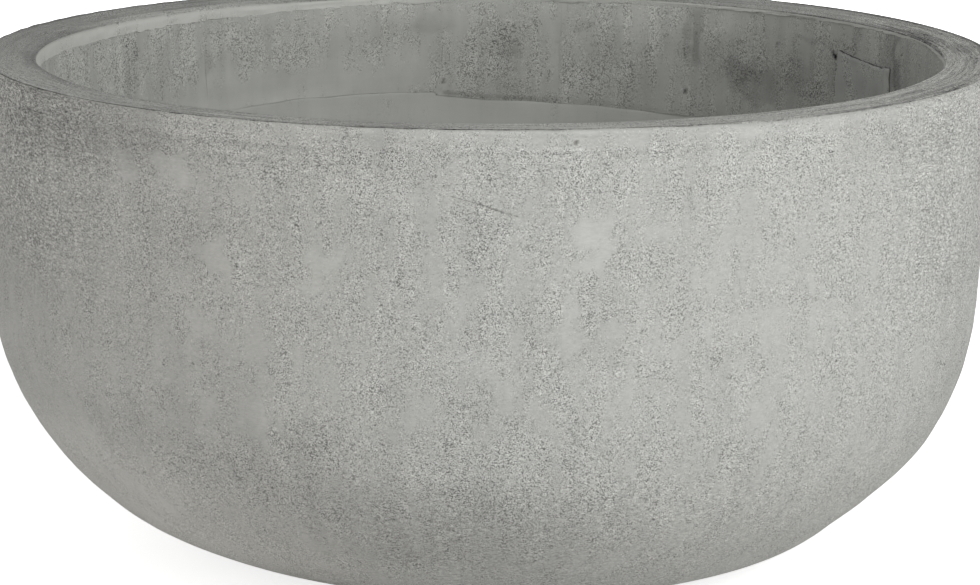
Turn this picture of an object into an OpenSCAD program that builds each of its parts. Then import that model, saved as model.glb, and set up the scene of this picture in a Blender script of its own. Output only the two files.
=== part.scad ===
// Round concrete bowl planter with a wide trowelled rim.
// Millimetres, +Z up. The origin is the middle of the footprint, on the ground.
// The front is at -Y, and angles round the bowl are counted from there,
// counter-clockwise as seen from above.

/* [Bowl] */
// Diameter across the outer edge of the rim
rim_d = 800; // [700:5:1000]
// Height of the concrete, from its underside to the top of the rim
bowl_h = 390; // [340:5:520]
// Lean of the straight upper wall, in degrees
wall_draft = 2.4; // [0:0.2:6]
// Outer radius of the round belly between wall and base
belly_r = 217; // [150:1:260]

/* [Wall] */
// Thickness of the cast shell
shell_t = 33; // [20:0.5:50]
// Thickness of the hand-laid sheets and of the smooth floor lining
lining_t = 10; // [5:0.5:16]
// Depth below the rim at which the wall sheets stop and the floor lining begins
sheet_drop = 92; // [50:1:150]
// Width of the open seam between two wall sheets
seam_gap = 1.2; // [0.4:0.1:4]
// Bedding gap between one cement layer and the next
bond_gap = 0.2; // [0.1:0.05:0.5]

/* [Rim] */
// How much lower the inner edge of the rim lies than the outer edge
rim_fall = 2.2; // [0:0.1:5]
// Thickness of the trowelled topping over the shell
topping_t = 10; // [6:0.5:13]
// Depth of the topping's lip below the rim, on the inside
lip_h = 14; // [13:0.5:30]
// Width of the shell's own edge that stays bare outside the topping
edge_w = 3.5; // [2.8:0.1:8]
// Rounding of the outer and inner edges of the rim
arris_r = 2.2; // [0.5:0.1:2.6]
// Width of the joint line between the topping and the bare edge
joint_gap = 0.4; // [0.2:0.1:1]
// Diameter of the steel bar in the rim
hoop_bar_d = 8; // [4:0.5:12]
// Clearance between the steel bar and its channel
hoop_clearance = 0.15; // [0.1:0.05:0.5]

/* [Repair patch] */
// Angle of the middle of the patch
patch_angle = 118; // [0:1:360]
// Width of the patch, along the wall
patch_w = 78; // [40:1:140]
// Height of the patch
patch_h = 52; // [25:1:58]
// Depth of the patch's upper edge below the rim
patch_drop = 30; // [16:1:34]
// Thickness of the patch
patch_t = 3; // [1.5:0.5:6]

/* [Drain] */
// Bore of the drain outlet, open below
outlet_d = 25.4; // [12:0.1:32]
// Diameter of the socket that holds the plug
socket_d = 36; // [34:0.5:41]
// Depth of the plug's socket
socket_depth = 20; // [10:0.5:28]
// Outer diameter of the sleeve
sleeve_d = 46; // [44:0.5:58]
// Diameter of the sleeve's flange, let into the floor lining
flange_d = 66; // [60:1:90]
// Thickness of the flange
flange_t = 4; // [2:0.5:4.5]
// Clearance round the sleeve in the concrete
sleeve_clearance = 0.15; // [0.1:0.05:0.5]

/* [Plug] */
// Gap all round between the plug and its socket
plug_clearance = 0.3; // [0.2:0.05:1]
// Diameter of the plug's head
plug_head_d = 54; // [46:0.5:58]
// Thickness of the plug's head
plug_head_t = 5; // [3:0.5:10]
// Height of the plug's grip over its head
grip_h = 16; // [10:0.5:30]
// Diameter of the grip's button
grip_d = 20; // [14:0.5:30]
// Diameter of the waist under the button
grip_waist_d = 12; // [6:0.5:13]

/* [Feet] */
// Diameter of a foot pad
pad_d = 40; // [20:1:60]
// Height that the pads hold the bowl off the ground
pad_stand = 4; // [2:0.5:12]
// Depth of the recess that holds a pad
pad_recess = 3; // [1:0.5:10]
// Clearance round a pad in its recess
pad_clearance = 0.2; // [0.1:0.05:0.5]
// Distance from the edge of a pad to the edge of the flat base
pad_inset = 25; // [10:1:60]
// Chamfer round the pad's lower edge
pad_chamfer = 1.5; // [0.5:0.1:1.9]

/* [Hidden] */

$fn = 180;

// Angles of the seams between the wall sheets, as the sheets were laid
SHEET_SEAMS = [-173, -136, -98, -60, -20, 20, 60, 95, 110, 150, 170];
PAD_COUNT = 4;

CAST_GREY = [0.63, 0.64, 0.62];
TROWELLED_GREY = [0.60, 0.60, 0.58];
SHEET_GREY = [0.66, 0.67, 0.65];
LINING_GREY = [0.69, 0.70, 0.68];
PATCH_GREY = [0.56, 0.57, 0.55];
STEEL_GREY = [0.45, 0.46, 0.48];
PLASTIC_BLACK = [0.12, 0.12, 0.13];
RUBBER_BLACK = [0.08, 0.08, 0.08];

rim_r = rim_d / 2;
wall_t = shell_t + lining_t;
lining_face = shell_t + bond_gap;
topping_r = rim_r - edge_w - joint_gap;
// Radius of the flat base, where the belly's curve runs out
base_r = rim_r - belly_r * cos(wall_draft) - (bowl_h - belly_r * (1 - sin(wall_draft))) * tan(wall_draft);
// Radius of the inner face of the wall at the rim
mouth_r = rim_r - wall_t / cos(wall_draft);
// The channel for the hoop lies in the middle of the shell's top
hoop_channel = hoop_bar_d + 2 * hoop_clearance;
hoop_r = rim_r - (edge_w + shell_t) / 2;
pad_ring_r = base_r - pad_inset - pad_d / 2;
// Half of the angle that a seam takes up
seam_half = seam_gap / mouth_r * 90 / PI;
floor_z = wall_t;
// Anything past the model's edges, for cutting
over = 50;

// Radius of the straight wall at a height, set in from the outer face
function wall_r(z, inset) = rim_r - (bowl_h - z) * tan(wall_draft) - inset / cos(wall_draft);

// Half section of the bowl's outline, set in evenly from its outer face
module bowl_section(inset) {
    bend_r = belly_r - inset;
    bend_x = base_r + bend_r * cos(wall_draft);
    bend_z = belly_r - bend_r * sin(wall_draft);
    polygon([
        [0, bend_z],
        [bend_x, bend_z],
        [wall_r(bowl_h + over, inset), bowl_h + over],
        [0, bowl_h + over],
    ]);
    translate([0, inset]) square([base_r, bend_z - inset]);
    intersection() {
        translate([base_r, belly_r]) circle(r = bend_r);
        translate([base_r, inset]) square([belly_r, bend_z - inset]);
    }
}

// Half plane between two heights
module height_band(low, high) {
    translate([0, low]) square([rim_r + over, high - low]);
}

// Cuts a square corner at a point down to a round one; side is +1 for an outer edge, -1 for an inner one
module round_corner(x, z, radius, side) {
    centre_x = x - side * (radius / cos(wall_draft) + side * radius * tan(wall_draft));
    translate([centre_x, z - radius]) difference() {
        scale([side, 1]) square([2 * radius, 2 * radius]);
        circle(r = radius);
    }
}

module shell_section() {
    difference() {
        intersection() {
            bowl_section(0);
            height_band(0, bowl_h);
        }
        bowl_section(shell_t);
        translate([0, bowl_h - topping_t]) square([rim_r - edge_w, topping_t + over]);
        round_corner(rim_r, bowl_h, arris_r, 1);
        hoop_channel_section();
    }
}

// The channel is open towards the topping
module hoop_channel_section() {
    translate([hoop_r - hoop_channel / 2, bowl_h - topping_t - hoop_channel])
        square([hoop_channel, hoop_channel + topping_t]);
}

module bowl_shell() {
    color(CAST_GREY) translate([0, 0, pad_stand]) difference() {
        rotate_extrude() shell_section();
        translate([0, 0, -over])
            cylinder(r = sleeve_d / 2 + sleeve_clearance, h = shell_t + 2 * over);
        for (i = [0:PAD_COUNT - 1])
            pad_place(i)
                translate([0, 0, -over]) cylinder(r = pad_d / 2 + pad_clearance, h = pad_recess + over);
    }
}

module rim_hoop() {
    color(STEEL_GREY) translate([0, 0, pad_stand + bowl_h - topping_t - hoop_channel / 2])
        rotate_extrude() translate([hoop_r, 0]) circle(r = hoop_bar_d / 2, $fn = 48);
}

module topping_section() {
    inner_z = bowl_h - rim_fall;
    difference() {
        union() {
            translate([0, bowl_h - topping_t]) square([topping_r, topping_t]);
            intersection() {
                bowl_section(lining_face);
                height_band(bowl_h - lip_h, bowl_h - topping_t + 1);
            }
        }
        bowl_section(wall_t);
        polygon([
            [0, inner_z],
            [mouth_r, inner_z],
            [topping_r, bowl_h],
            [topping_r, bowl_h + over],
            [0, bowl_h + over],
        ]);
        round_corner(mouth_r, inner_z, arris_r, -1);
    }
}

module rim_topping() {
    color(TROWELLED_GREY) translate([0, 0, pad_stand]) rotate_extrude() topping_section();
}

// One sheet between two seams, counted from the front
module wall_sheet(i) {
    count = len(SHEET_SEAMS);
    from = SHEET_SEAMS[i];
    to = (i + 1 < count) ? SHEET_SEAMS[i + 1] : SHEET_SEAMS[0] + 360;
    color(SHEET_GREY) translate([0, 0, pad_stand]) rotate([0, 0, from + seam_half - 90])
        rotate_extrude(angle = to - from - 2 * seam_half) difference() {
            intersection() {
                bowl_section(lining_face);
                height_band(bowl_h - sheet_drop, bowl_h - lip_h);
            }
            bowl_section(wall_t);
        }
}

module floor_lining() {
    color(LINING_GREY) translate([0, 0, pad_stand]) difference() {
        rotate_extrude() difference() {
            intersection() {
                bowl_section(lining_face);
                height_band(0, bowl_h - sheet_drop);
            }
            bowl_section(wall_t);
        }
        cylinder(r = sleeve_d / 2 + sleeve_clearance, h = floor_z + over);
        translate([0, 0, floor_z - flange_t])
            cylinder(r = flange_d / 2 + sleeve_clearance, h = flange_t + over);
    }
}

module repair_patch() {
    patch_arc = patch_w / mouth_r * 180 / PI;
    patch_face = wall_t + bond_gap;
    color(PATCH_GREY) translate([0, 0, pad_stand]) rotate([0, 0, patch_angle - patch_arc / 2 - 90])
        rotate_extrude(angle = patch_arc) difference() {
            intersection() {
                bowl_section(patch_face);
                height_band(bowl_h - patch_drop - patch_h, bowl_h - patch_drop);
            }
            bowl_section(patch_face + patch_t);
        }
}

module drain_sleeve() {
    color(PLASTIC_BLACK) translate([0, 0, pad_stand]) difference() {
        union() {
            cylinder(r = sleeve_d / 2, h = floor_z);
            translate([0, 0, floor_z - flange_t]) cylinder(r = flange_d / 2, h = flange_t);
        }
        translate([0, 0, -over]) cylinder(r = outlet_d / 2, h = floor_z + 2 * over);
        translate([0, 0, floor_z - socket_depth]) cylinder(r = socket_d / 2, h = socket_depth + over);
    }
}

// The head lies on the flange, and the stem stops short of the socket's step
module drain_plug() {
    stem_h = socket_depth - plug_clearance;
    waist_h = grip_h / 2;
    button_r = grip_d / 2;
    color(RUBBER_BLACK) translate([0, 0, pad_stand + floor_z]) rotate_extrude() union() {
        translate([0, -stem_h]) square([socket_d / 2 - plug_clearance, stem_h]);
        square([plug_head_d / 2, plug_head_t]);
        translate([0, plug_head_t]) square([grip_waist_d / 2, waist_h]);
        polygon([
            [0, plug_head_t + waist_h],
            [grip_waist_d / 2, plug_head_t + waist_h],
            [button_r, plug_head_t + waist_h + (button_r - grip_waist_d / 2)],
            [button_r, plug_head_t + grip_h],
            [0, plug_head_t + grip_h],
        ]);
    }
}

module pad_place(i) {
    rotate([0, 0, 45 + i * 360 / PAD_COUNT]) translate([pad_ring_r, 0, 0]) children();
}

module foot_pad(i) {
    color(RUBBER_BLACK) pad_place(i) {
        cylinder(r1 = pad_d / 2 - pad_chamfer, r2 = pad_d / 2, h = pad_chamfer);
        translate([0, 0, pad_chamfer]) cylinder(r = pad_d / 2, h = pad_stand + pad_recess - pad_chamfer);
    }
}

bowl_shell();
rim_hoop();
rim_topping();
for (i = [0:len(SHEET_SEAMS) - 1])
    wall_sheet(i);
floor_lining();
repair_patch();
drain_sleeve();
drain_plug();
for (i = [0:PAD_COUNT - 1])
    foot_pad(i);
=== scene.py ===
"""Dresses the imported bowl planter: bare cement surfaces, laid sheets, trowelled rim, drain and pads."""

import math

import bmesh
import bpy
import numpy as np
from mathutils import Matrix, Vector


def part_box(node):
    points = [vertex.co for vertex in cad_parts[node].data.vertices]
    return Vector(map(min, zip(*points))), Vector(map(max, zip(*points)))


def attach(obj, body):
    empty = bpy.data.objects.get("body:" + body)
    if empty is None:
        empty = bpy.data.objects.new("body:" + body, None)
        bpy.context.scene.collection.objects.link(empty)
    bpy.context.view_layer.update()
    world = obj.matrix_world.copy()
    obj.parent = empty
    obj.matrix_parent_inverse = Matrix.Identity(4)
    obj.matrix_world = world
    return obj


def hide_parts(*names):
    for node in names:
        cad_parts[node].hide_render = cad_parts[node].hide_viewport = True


bl_info = {
    "name": "Cement Bowl Planter",
    "version": (1, 0, 0),
    "blender": (4, 5, 0),
    "location": "3D View > Sidebar > Bowl Planter",
    "description": "Builds the surfaces of a hand-made cement bowl planter round its frame",
    "category": "Object",
}

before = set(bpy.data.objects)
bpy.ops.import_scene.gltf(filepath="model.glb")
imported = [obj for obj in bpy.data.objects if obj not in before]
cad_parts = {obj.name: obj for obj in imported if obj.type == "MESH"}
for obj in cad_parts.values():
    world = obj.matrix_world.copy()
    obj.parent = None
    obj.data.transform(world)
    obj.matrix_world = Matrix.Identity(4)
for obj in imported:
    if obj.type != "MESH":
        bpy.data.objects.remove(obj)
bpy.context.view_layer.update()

MM = 0.001
BODY, PLUG = "planter", "plug"
FOOT_PADS = 4
# Depth in mm of the recesses that hold the pads
PAD_SUNK = 3
# Radius in mm of the even cylinder on which swells and marks are laid out
UNROLLED_R = 380.0
# An edge stays sharp where its faces meet at more than this many degrees
SHARP = 40.0
# Seams between the laid sheets, in degrees from the front, counter-clockwise seen from above
SHEET_SEAMS = (-173, -136, -98, -60, -20, 20, 60, 95, 110, 150, 170, 187)


# ---------------------------------------------------------------- sizes and finishes


def length(label, about, value_mm):
    return bpy.props.FloatProperty(
        name=label,
        description=about,
        default=value_mm * MM,
        min=0.0,
        unit="LENGTH",
        subtype="DISTANCE",
    )


def tint(label, about, value):
    return bpy.props.FloatVectorProperty(
        name=label, description=about, default=value, size=3, min=0.0, max=1.0, subtype="COLOR"
    )


def share(label, about, value, most=2.0):
    return bpy.props.FloatProperty(
        name=label, description=about, default=value, min=0.0, max=most, subtype="FACTOR"
    )


class BowlSizes(bpy.types.PropertyGroup):
    """Sizes of the bowl, as its solids have them"""

    rim_r: length("Rim radius", "From the axis to the outer edge of the rim", 400)
    bowl_h: length("Bowl height", "Height of the cement above the pads' recesses", 390)
    stand: length("Stand", "Height that the pads hold the bowl off the ground", 4)
    draft: bpy.props.FloatProperty(
        name="Draft",
        description="Lean of the straight upper wall",
        default=math.radians(2.4),
        subtype="ANGLE",
        unit="ROTATION",
    )
    belly_r: length("Belly radius", "Outer radius of the bend between wall and base", 217)
    shell_t: length("Shell thickness", "Thickness of the cast shell", 33)
    lining_t: length("Lining thickness", "Thickness of the sheets and of the floor lining", 10)
    bond_gap: length("Bedding gap", "Gap between one layer of cement and the next", 0.2)
    sheet_drop: length("Sheet depth", "Depth below the rim at which the sheets stop", 92)
    lip_h: length("Lip depth", "Depth of the topping's lip below the rim", 14)
    topping_t: length("Topping thickness", "Thickness of the trowelled topping", 10)
    rim_fall: length("Rim fall", "How much lower the inner edge of the rim lies", 2.2)
    edge_w: length("Bare edge", "Width of the shell's own edge round the topping", 3.5)
    joint_gap: length("Joint line", "Gap between the topping and the bare edge", 0.4)
    arris_r: length("Arris", "Rounding of the rim's outer and inner edges", 2.2)
    hoop_channel: length("Hoop channel", "Width and depth of the steel bar's channel", 8.3)
    sleeve_hole_r: length("Sleeve hole", "Radius of the hole for the drain sleeve", 23.15)
    flange_hole_r: length("Flange recess", "Radius of the recess for the sleeve's flange", 33.15)
    pad_hole_r: length("Pad recess", "Radius of a foot pad's recess", 20.2)
    pad_ring_r: length("Pad circle", "Radius of the circle that the pads stand on", 130.56)


class CementLook(bpy.types.PropertyGroup):
    """Colours and surface of the cement, steel, plastic and rubber"""

    cast: tint("Cast cement", "Colour of the cast shell", (0.450, 0.454, 0.430))
    trowelled: tint("Trowelled cement", "Colour of the rim's topping", (0.410, 0.415, 0.392))
    sheet: tint("Laid sheets", "Colour of the sheets on the inner wall", (0.428, 0.435, 0.410))
    lining: tint("Floor lining", "Colour of the smooth lining", (0.430, 0.437, 0.412))
    patch: tint("Patch", "Colour of the repair patch", (0.380, 0.390, 0.368))
    steel: tint("Steel bar", "Colour of the bar in the rim", (0.25, 0.24, 0.23))
    plastic: tint("Drain sleeve", "Colour of the sleeve's plastic", (0.030, 0.030, 0.032))
    rubber: tint("Rubber", "Colour of the plug and the pads", (0.020, 0.020, 0.020))
    pit_size: length("Pit size", "Width of the finest marks in the cement", 0.53)
    pit_shade: share("Pit shade", "How much darker the finest marks are", 0.58, 1.0)


class StudioLight(bpy.types.PropertyGroup):
    """Levels of the lamps and of the light all round"""

    around: share("All round", "Level of the even light from all sides", 0.46)
    key: share("Key", "Level of the broad lamp at the right", 0.50)
    fill: share("Fill", "Level of the low lamp in front", 0.16)
    back: share("Back", "Level of the low lamp behind", 0.18)


class Sizes:
    """The bowl's sizes in millimetres, and the lines that its sections follow"""

    def __init__(self, props):
        for name in BowlSizes.__annotations__:
            value = getattr(props, name)
            setattr(self, name, value if name == "draft" else value / MM)
        self.slant = math.tan(self.draft)
        rise = self.bowl_h - self.belly_r * (1 - math.sin(self.draft))
        self.base_r = self.rim_r - self.belly_r * math.cos(self.draft) - rise * self.slant
        self.top = self.bowl_h + self.stand
        self.wall_t = self.shell_t + self.lining_t
        self.lining_face = self.shell_t + self.bond_gap
        self.mouth_r = self.wall_r(self.bowl_h, self.wall_t)
        self.topping_r = self.rim_r - self.edge_w - self.joint_gap
        self.hoop_r = self.rim_r - (self.edge_w + self.shell_t) / 2

    def wall_r(self, z, inset=0.0):
        """Radius of the straight wall at a height, set in from the outer face"""
        return self.rim_r - (self.bowl_h - z) * self.slant - inset / math.cos(self.draft)

    def bend(self, inset, step):
        """Points along the bend, from the flat base up to the straight wall"""
        radius = self.belly_r - inset
        count = max(3, round(radius * (math.pi / 2 - self.draft) / step))
        angles = np.linspace(-math.pi / 2, -self.draft, count + 1)
        return [(self.base_r + radius * math.cos(a), self.belly_r + radius * math.sin(a)) for a in angles]


# ---------------------------------------------------------------- hand-made unevenness


def swell(az, along, seed, across_mm, down_mm, waves=26):
    """A smooth random swell with a spread of 1 that closes round the bowl; az in degrees, along in mm"""
    rng = np.random.default_rng(seed)
    turns = 2 * math.pi * UNROLLED_R / across_mm
    angle = np.radians(az)
    total = np.zeros(np.shape(az))
    for _ in range(waves):
        way = rng.uniform(0, 2 * math.pi)
        much = rng.uniform(0.55, 1.35)
        k_round = round(turns * much * math.cos(way))
        k_down = 2 * math.pi / down_mm * much * math.sin(way)
        total += np.cos(k_round * angle + k_down * along + rng.uniform(0, 2 * math.pi))
    return total * math.sqrt(2.0 / waves)


def ripple(az, seed, across_mm):
    """A swell that runs round the bowl and is the same at every depth"""
    return swell(az, 0 * az, seed, across_mm, 400)


def smooth(low, high, value):
    """0 below low, 1 above high, and a smooth step between them"""
    t = np.clip((value - low) / (high - low), 0.0, 1.0)
    return t * t * (3 - 2 * t)


def hump(value, middle, half, soft=0.5):
    """1 round the middle, falling to 0 at half; soft is the share of half that the fall takes"""
    return 1.0 - smooth(1.0 - soft, 1.0, np.abs(value - middle) / half)


def turned(az, middle):
    """Angle from the middle, the short way round, in degrees"""
    return (az - middle + 180.0) % 360.0 - 180.0


def around(az, middle, half, soft):
    """A hump round an angle, the short way round the bowl"""
    return hump(turned(az, middle), 0, half, soft)


def follow(az, table):
    """Value of a table of (angle, value) rows at each angle, the short way round the bowl"""
    rows = sorted(table)
    xs = [a for a, _ in rows]
    ys = [v for _, v in rows]
    return np.interp(az, [xs[-1] - 360, *xs, xs[0] + 360], [ys[-1], *ys, ys[0]])


# Depth below the rim of the lip's ragged lower edge, and of the sheets' lower edge, by angle
LIP_FOOT = (
    (-169, 9.0), (-155, 11.0), (-142, 13.0), (-132, 13.8), (-114, 16.0), (-97, 15.4), (-60, 13.0),
    (-20, 12.0), (20, 13.0), (60, 10.0), (90, 5.6), (97, 5.2), (111, 5.6), (128, 5.4), (149, 6.7),
    (170, 7.6),
)
SHEET_FOOT = (
    (-173.2, 92.0), (-172.8, 88.8), (-163, 89.0), (-150, 90.0), (-141, 94.0), (-98, 91.0),
    (-60, 93.0), (-20, 91.0), (20, 90.0), (60, 93.0), (95, 92.0), (110, 94.0), (149, 102.5),
    (156, 102.0), (164, 99.0), (171, 98.0), (180, 96.0),
)
# Set of each sheet: how far its face lies out from the even wall in mm, and its shade: the sheet's own
# tone, with painted shade on the sheets at the right
SHEET_SET = (
    (0.2, 0.0), (0.25, 0.05), (0.1, 0.0), (0.3, -0.03), (0.0, 0.02), (0.2, -0.02),
    (0.0, -0.10), (0.2, -0.10), (0.1, -0.01), (0.1, 0.03), (0.1, 0.01),
)
# Width of the open seam at the left of each sheet, in mm
SEAM_WIDTH = (0.12, 0.05, 0.15, 0.2, 0.15, 0.3, 0.15, 0.2, 0.12, 0.08, 0.08)
# Painted shade on the rim's top by angle: darker at the left, the back and the right
RIM_PAINTED_SHADE = (
    (-180, -0.26), (-140, -0.33), (-90, -0.34), (-70, -0.17), (-50, -0.13), (-35, -0.24),
    (-20, -0.17), (-10, -0.29), (0, -0.02), (20, -0.09), (30, -0.04), (42, -0.15), (60, -0.23),
    (70, -0.13), (80, -0.15), (92, -0.28), (120, -0.30),
)


def lip_foot(az):
    """Depth of the lip's lower edge, in mm"""
    return follow(az, LIP_FOOT) + 0.35 * ripple(az, 11, 10) + 0.25 * ripple(az, 13, 60)


def sheet_foot(az):
    """Depth of the sheets' lower edge, in mm"""
    return follow(az, SHEET_FOOT) + 0.25 * ripple(az, 12, 55)


def seam_line(index, depth):
    """Angle of a seam at each depth: the sheets were laid by hand"""
    index = index % (len(SHEET_SEAMS) - 1)
    az = SHEET_SEAMS[index] + 0.12 * np.sin(depth / 9.0 + 2.1 * index)
    az = az + 0.10 * np.sin(depth / 23.0 + index)
    if index == 0:
        az = az + 1.1 * smooth(66, 94, depth)
    return az


def lean(az, height):
    """How far the whole wall stands out from the even form, in mm, at a height in mm"""
    return -3.8 * np.sin(np.radians(az)) * hump(height, 205, 130, 0.95)


def slump(az, height):
    """How far the belly's outer face stands out and how far it hangs down, in mm: it sagged to the right"""
    side = np.sin(np.radians(az))
    low = np.where(side > 0, side, 0.5 * side) * hump(height, 18, 27, 0.95) * smooth(4, 13, height)
    return 3.0 * low - (1.3 + 1.2 * side) * hump(height, 60, 42, 0.95), 3.0 * low


def rim_rounding(az, inward):
    """How far the rolled edge at the right drops, in mm; inward is the distance from the outer edge"""
    roll = 2.6 * smooth(12, 34, az) * (1 - smooth(105, 140, az))
    return roll * (1 - smooth(0.0, 8.0, inward))


def joint_open(az):
    """1 where the joint round the topping stands open, 0 where the trowel has closed it"""
    return 1 - smooth(24, 40, az) * (1 - smooth(118, 140, az))


# ---------------------------------------------------------------- meshes


def line(start, end, step):
    """Points from start to just before end, about one step apart"""
    span = math.hypot(end[0] - start[0], end[1] - start[1])
    count = max(1, round(span / step))
    return [
        (start[0] + (end[0] - start[0]) * k / count, start[1] + (end[1] - start[1]) * k / count)
        for k in range(count)
    ]


def corner(centre, radius, start, end, pieces):
    """Points of a round corner between two angles in degrees"""
    return [
        (centre[0] + radius * math.cos(math.radians(a)), centre[1] + radius * math.sin(math.radians(a)))
        for a in np.linspace(start, end, pieces + 1)
    ]


def distances(outline):
    """Distance along an outline from its start to each of its points"""
    return np.cumsum([0, *(math.dist(a, b) for a, b in zip(outline, outline[1:]))])


def slab_outline(s, top, foot, face_inset, back_inset, bevel, face_step, back_step):
    """Half section of a slab on the wall, down its face and up its back; also where the face ends"""
    face = [(s.wall_r(z, face_inset), z) for z in (top, foot)]
    back = [(s.wall_r(z, back_inset), z) for z in (top, foot)]
    points = [(face[0][0] + bevel, top)]
    points += line((face[0][0], top - bevel), (face[1][0], foot + bevel), face_step)
    points += [(face[1][0], foot + bevel), (face[1][0] + bevel, foot)]
    face_end = len(points) - 1
    points += line(back[1], back[0], back_step) + [back[0]]
    return points, face_end


def point_at(az, radius, z):
    """Place in metres of a point given in degrees and millimetres"""
    a = math.radians(az)
    return Vector((radius * math.sin(a), -radius * math.cos(a), z)) * MM


def places(az, radius, z):
    """Places in metres, one after the other, of points given in degrees and millimetres"""
    angle = np.radians(az)
    co = np.stack([radius * np.sin(angle), -radius * np.cos(angle), z], 1) * MM
    return co.astype(np.float32).ravel()


def spin(bm, geom, steps, sweep=360.0):
    """Spins edges round the bowl's axis, through an angle in degrees"""
    bmesh.ops.spin(
        bm, geom=geom, cent=(0, 0, 0), axis=(0, 0, 1), dvec=(0, 0, 0),
        angle=math.radians(sweep), steps=steps, use_merge=sweep >= 360.0, use_duplicate=False,
    )


def turn_outline(bm, outline, steps, lift, start=180.0, sweep=360.0, closed=True):
    """Spins a half section round the bowl's axis; each vertex notes its distance along the section"""
    run = bm.verts.layers.float.new("run")
    chain = []
    for (r, z), so_far in zip(outline, distances(outline)):
        vert = bm.verts.new(point_at(start, r, z + lift))
        vert[run] = so_far
        chain.append(vert)
    edges = [bm.edges.new(pair) for pair in zip(chain, chain[1:])]
    if closed:
        edges.append(bm.edges.new((chain[-1], chain[0])))
    spin(bm, chain + edges, steps, sweep)
    if sweep < 360.0:
        first = set(chain)
        loops = ([], [])
        for edge in bm.edges:
            if edge.is_boundary:
                loops[edge.verts[0] in first].append(edge)
        for loop in loops:
            bmesh.ops.triangle_fill(bm, use_beauty=True, use_dissolve=False, edges=loop)


def as_mesh(bm, name):
    """Turns the faces outwards and makes a mesh of them"""
    bmesh.ops.recalc_face_normals(bm, faces=bm.faces[:])
    mesh = bpy.data.meshes.new(name)
    bm.to_mesh(mesh)
    bm.free()
    return mesh


class Skin:
    """A mesh's vertices: angle round the bowl, radius and height in mm, distance along the section"""

    def __init__(self, mesh):
        self.mesh = mesh
        co = np.empty(len(mesh.vertices) * 3, np.float32)
        mesh.vertices.foreach_get("co", co)
        self.at = co.reshape(-1, 3).astype(float) / MM
        run = np.empty(len(mesh.vertices), np.float32)
        mesh.attributes["run"].data.foreach_get("value", run)
        self.run = run.astype(float)
        self.az = np.degrees(np.arctan2(self.at[:, 0], -self.at[:, 1]))
        self.r = np.hypot(self.at[:, 0], self.at[:, 1])
        self.z = self.at[:, 2].copy()

    def write(self, az, r, z):
        """Moves the mesh's vertices to places given in degrees and millimetres"""
        self.mesh.vertices.foreach_set("co", places(az, r, z))
        self.mesh.update()

    def paint(self, name, values):
        """Keeps a value for each vertex, for a finish to read"""
        layer = self.mesh.attributes.new(name, "FLOAT", "POINT")
        layer.data.foreach_set("value", np.broadcast_to(values, len(self.run)).astype(np.float32))

    def lay(self, along, fineness=1.0):
        """Notes each vertex's place on the even cylinder, for marks that run round or down the wall"""
        layer = self.mesh.attributes.new("lay", "FLOAT_VECTOR", "POINT")
        layer.data.foreach_set("vector", places(self.az, UNROLLED_R * fineness, along * fineness))

    def write_map(self, u, v):
        layer = self.mesh.uv_layers.new(name="OFBake")
        layer.data.foreach_set("uv", np.stack([u, v], 1).astype(np.float32).ravel())


def turned_skin(name, outline, steps, lift, start=180.0, sweep=360.0):
    """The skin of a closed half section that is spun round the bowl's axis"""
    bm = bmesh.new()
    turn_outline(bm, outline, steps, lift, start, sweep)
    return Skin(as_mesh(bm, name))


class Corners:
    """A skin's face corners as arrays: vertex, face, distance along the section and unwrapped angle"""

    def __init__(self, skin):
        mesh = skin.mesh
        self.vert = np.empty(len(mesh.loops), np.int32)
        mesh.loops.foreach_get("vertex_index", self.vert)
        self.first = np.empty(len(mesh.polygons), np.int32)
        self.total = np.empty(len(mesh.polygons), np.int32)
        mesh.polygons.foreach_get("loop_start", self.first)
        mesh.polygons.foreach_get("loop_total", self.total)
        self.face = np.repeat(np.arange(len(self.first)), self.total)
        self.run = skin.run[self.vert]
        az = skin.az[self.vert]
        east = np.add.reduceat(np.sin(np.radians(az)), self.first)
        north = np.add.reduceat(np.cos(np.radians(az)), self.first)
        self.middle = np.degrees(np.arctan2(east, north))
        self.az = self.middle[self.face] + turned(az, self.middle[self.face])

    def mean(self, values):
        """Mean over each face's corners"""
        return np.add.reduceat(values, self.first) / self.total

    def closing(self, end):
        """The corners at the section's start that belong to faces which close it; end is its full length"""
        most, least = np.maximum.reduceat(self.run, self.first), np.minimum.reduceat(self.run, self.first)
        return (most - least > end * 0.5)[self.face] & (self.run < end * 0.5)


def strip_map(skin, bands, knots, room=1.0):
    """Maps a ring in bands, one over the other; knots give the share of a band's height by distance"""
    corners = Corners(skin)
    longest = skin.run.max()
    run = np.where(corners.closing(longest), longest, corners.run)
    share_up = np.interp(run, [k for k, _ in knots], [s for _, s in knots])
    size = 360.0 / bands
    band = np.floor((corners.middle + 180.0) % 360.0 / size).astype(int).clip(0, bands - 1)[corners.face]
    u = (corners.az + 180.0 - band * size) / size
    u = u - np.round(corners.mean(u)[corners.face] - 0.5)
    v = (band + 0.02 + 0.96 * share_up) * (room / bands)
    return np.clip(0.004 + 0.992 * u, 0, 1), v, corners


def slab_map(skin, across, seen, end, heights):
    """Maps a slab with its face below, and its back and the closing edge in the strip above"""
    corners = Corners(skin)
    closed = end + 10
    run = np.where(corners.closing(end), closed, corners.run)
    skin.write_map(0.01 + 0.98 * across[corners.vert], np.interp(run, (0, seen, end, closed), heights))


def finish_piece(mesh, name, material, body=BODY):
    """Gives a mesh its finish and puts it in the place of the solid of the same name"""
    mesh.polygons.foreach_set("use_smooth", np.ones(len(mesh.polygons), bool))
    mesh.set_sharp_from_angle(angle=math.radians(SHARP))
    mesh.materials.append(material)
    if "run" in mesh.attributes:
        mesh.attributes.remove(mesh.attributes["run"])
    mesh.update()
    piece = bpy.data.objects.new(name, mesh)
    bpy.context.scene.collection.objects.link(piece)
    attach(piece, body)
    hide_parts(name)


# ---------------------------------------------------------------- materials


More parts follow.
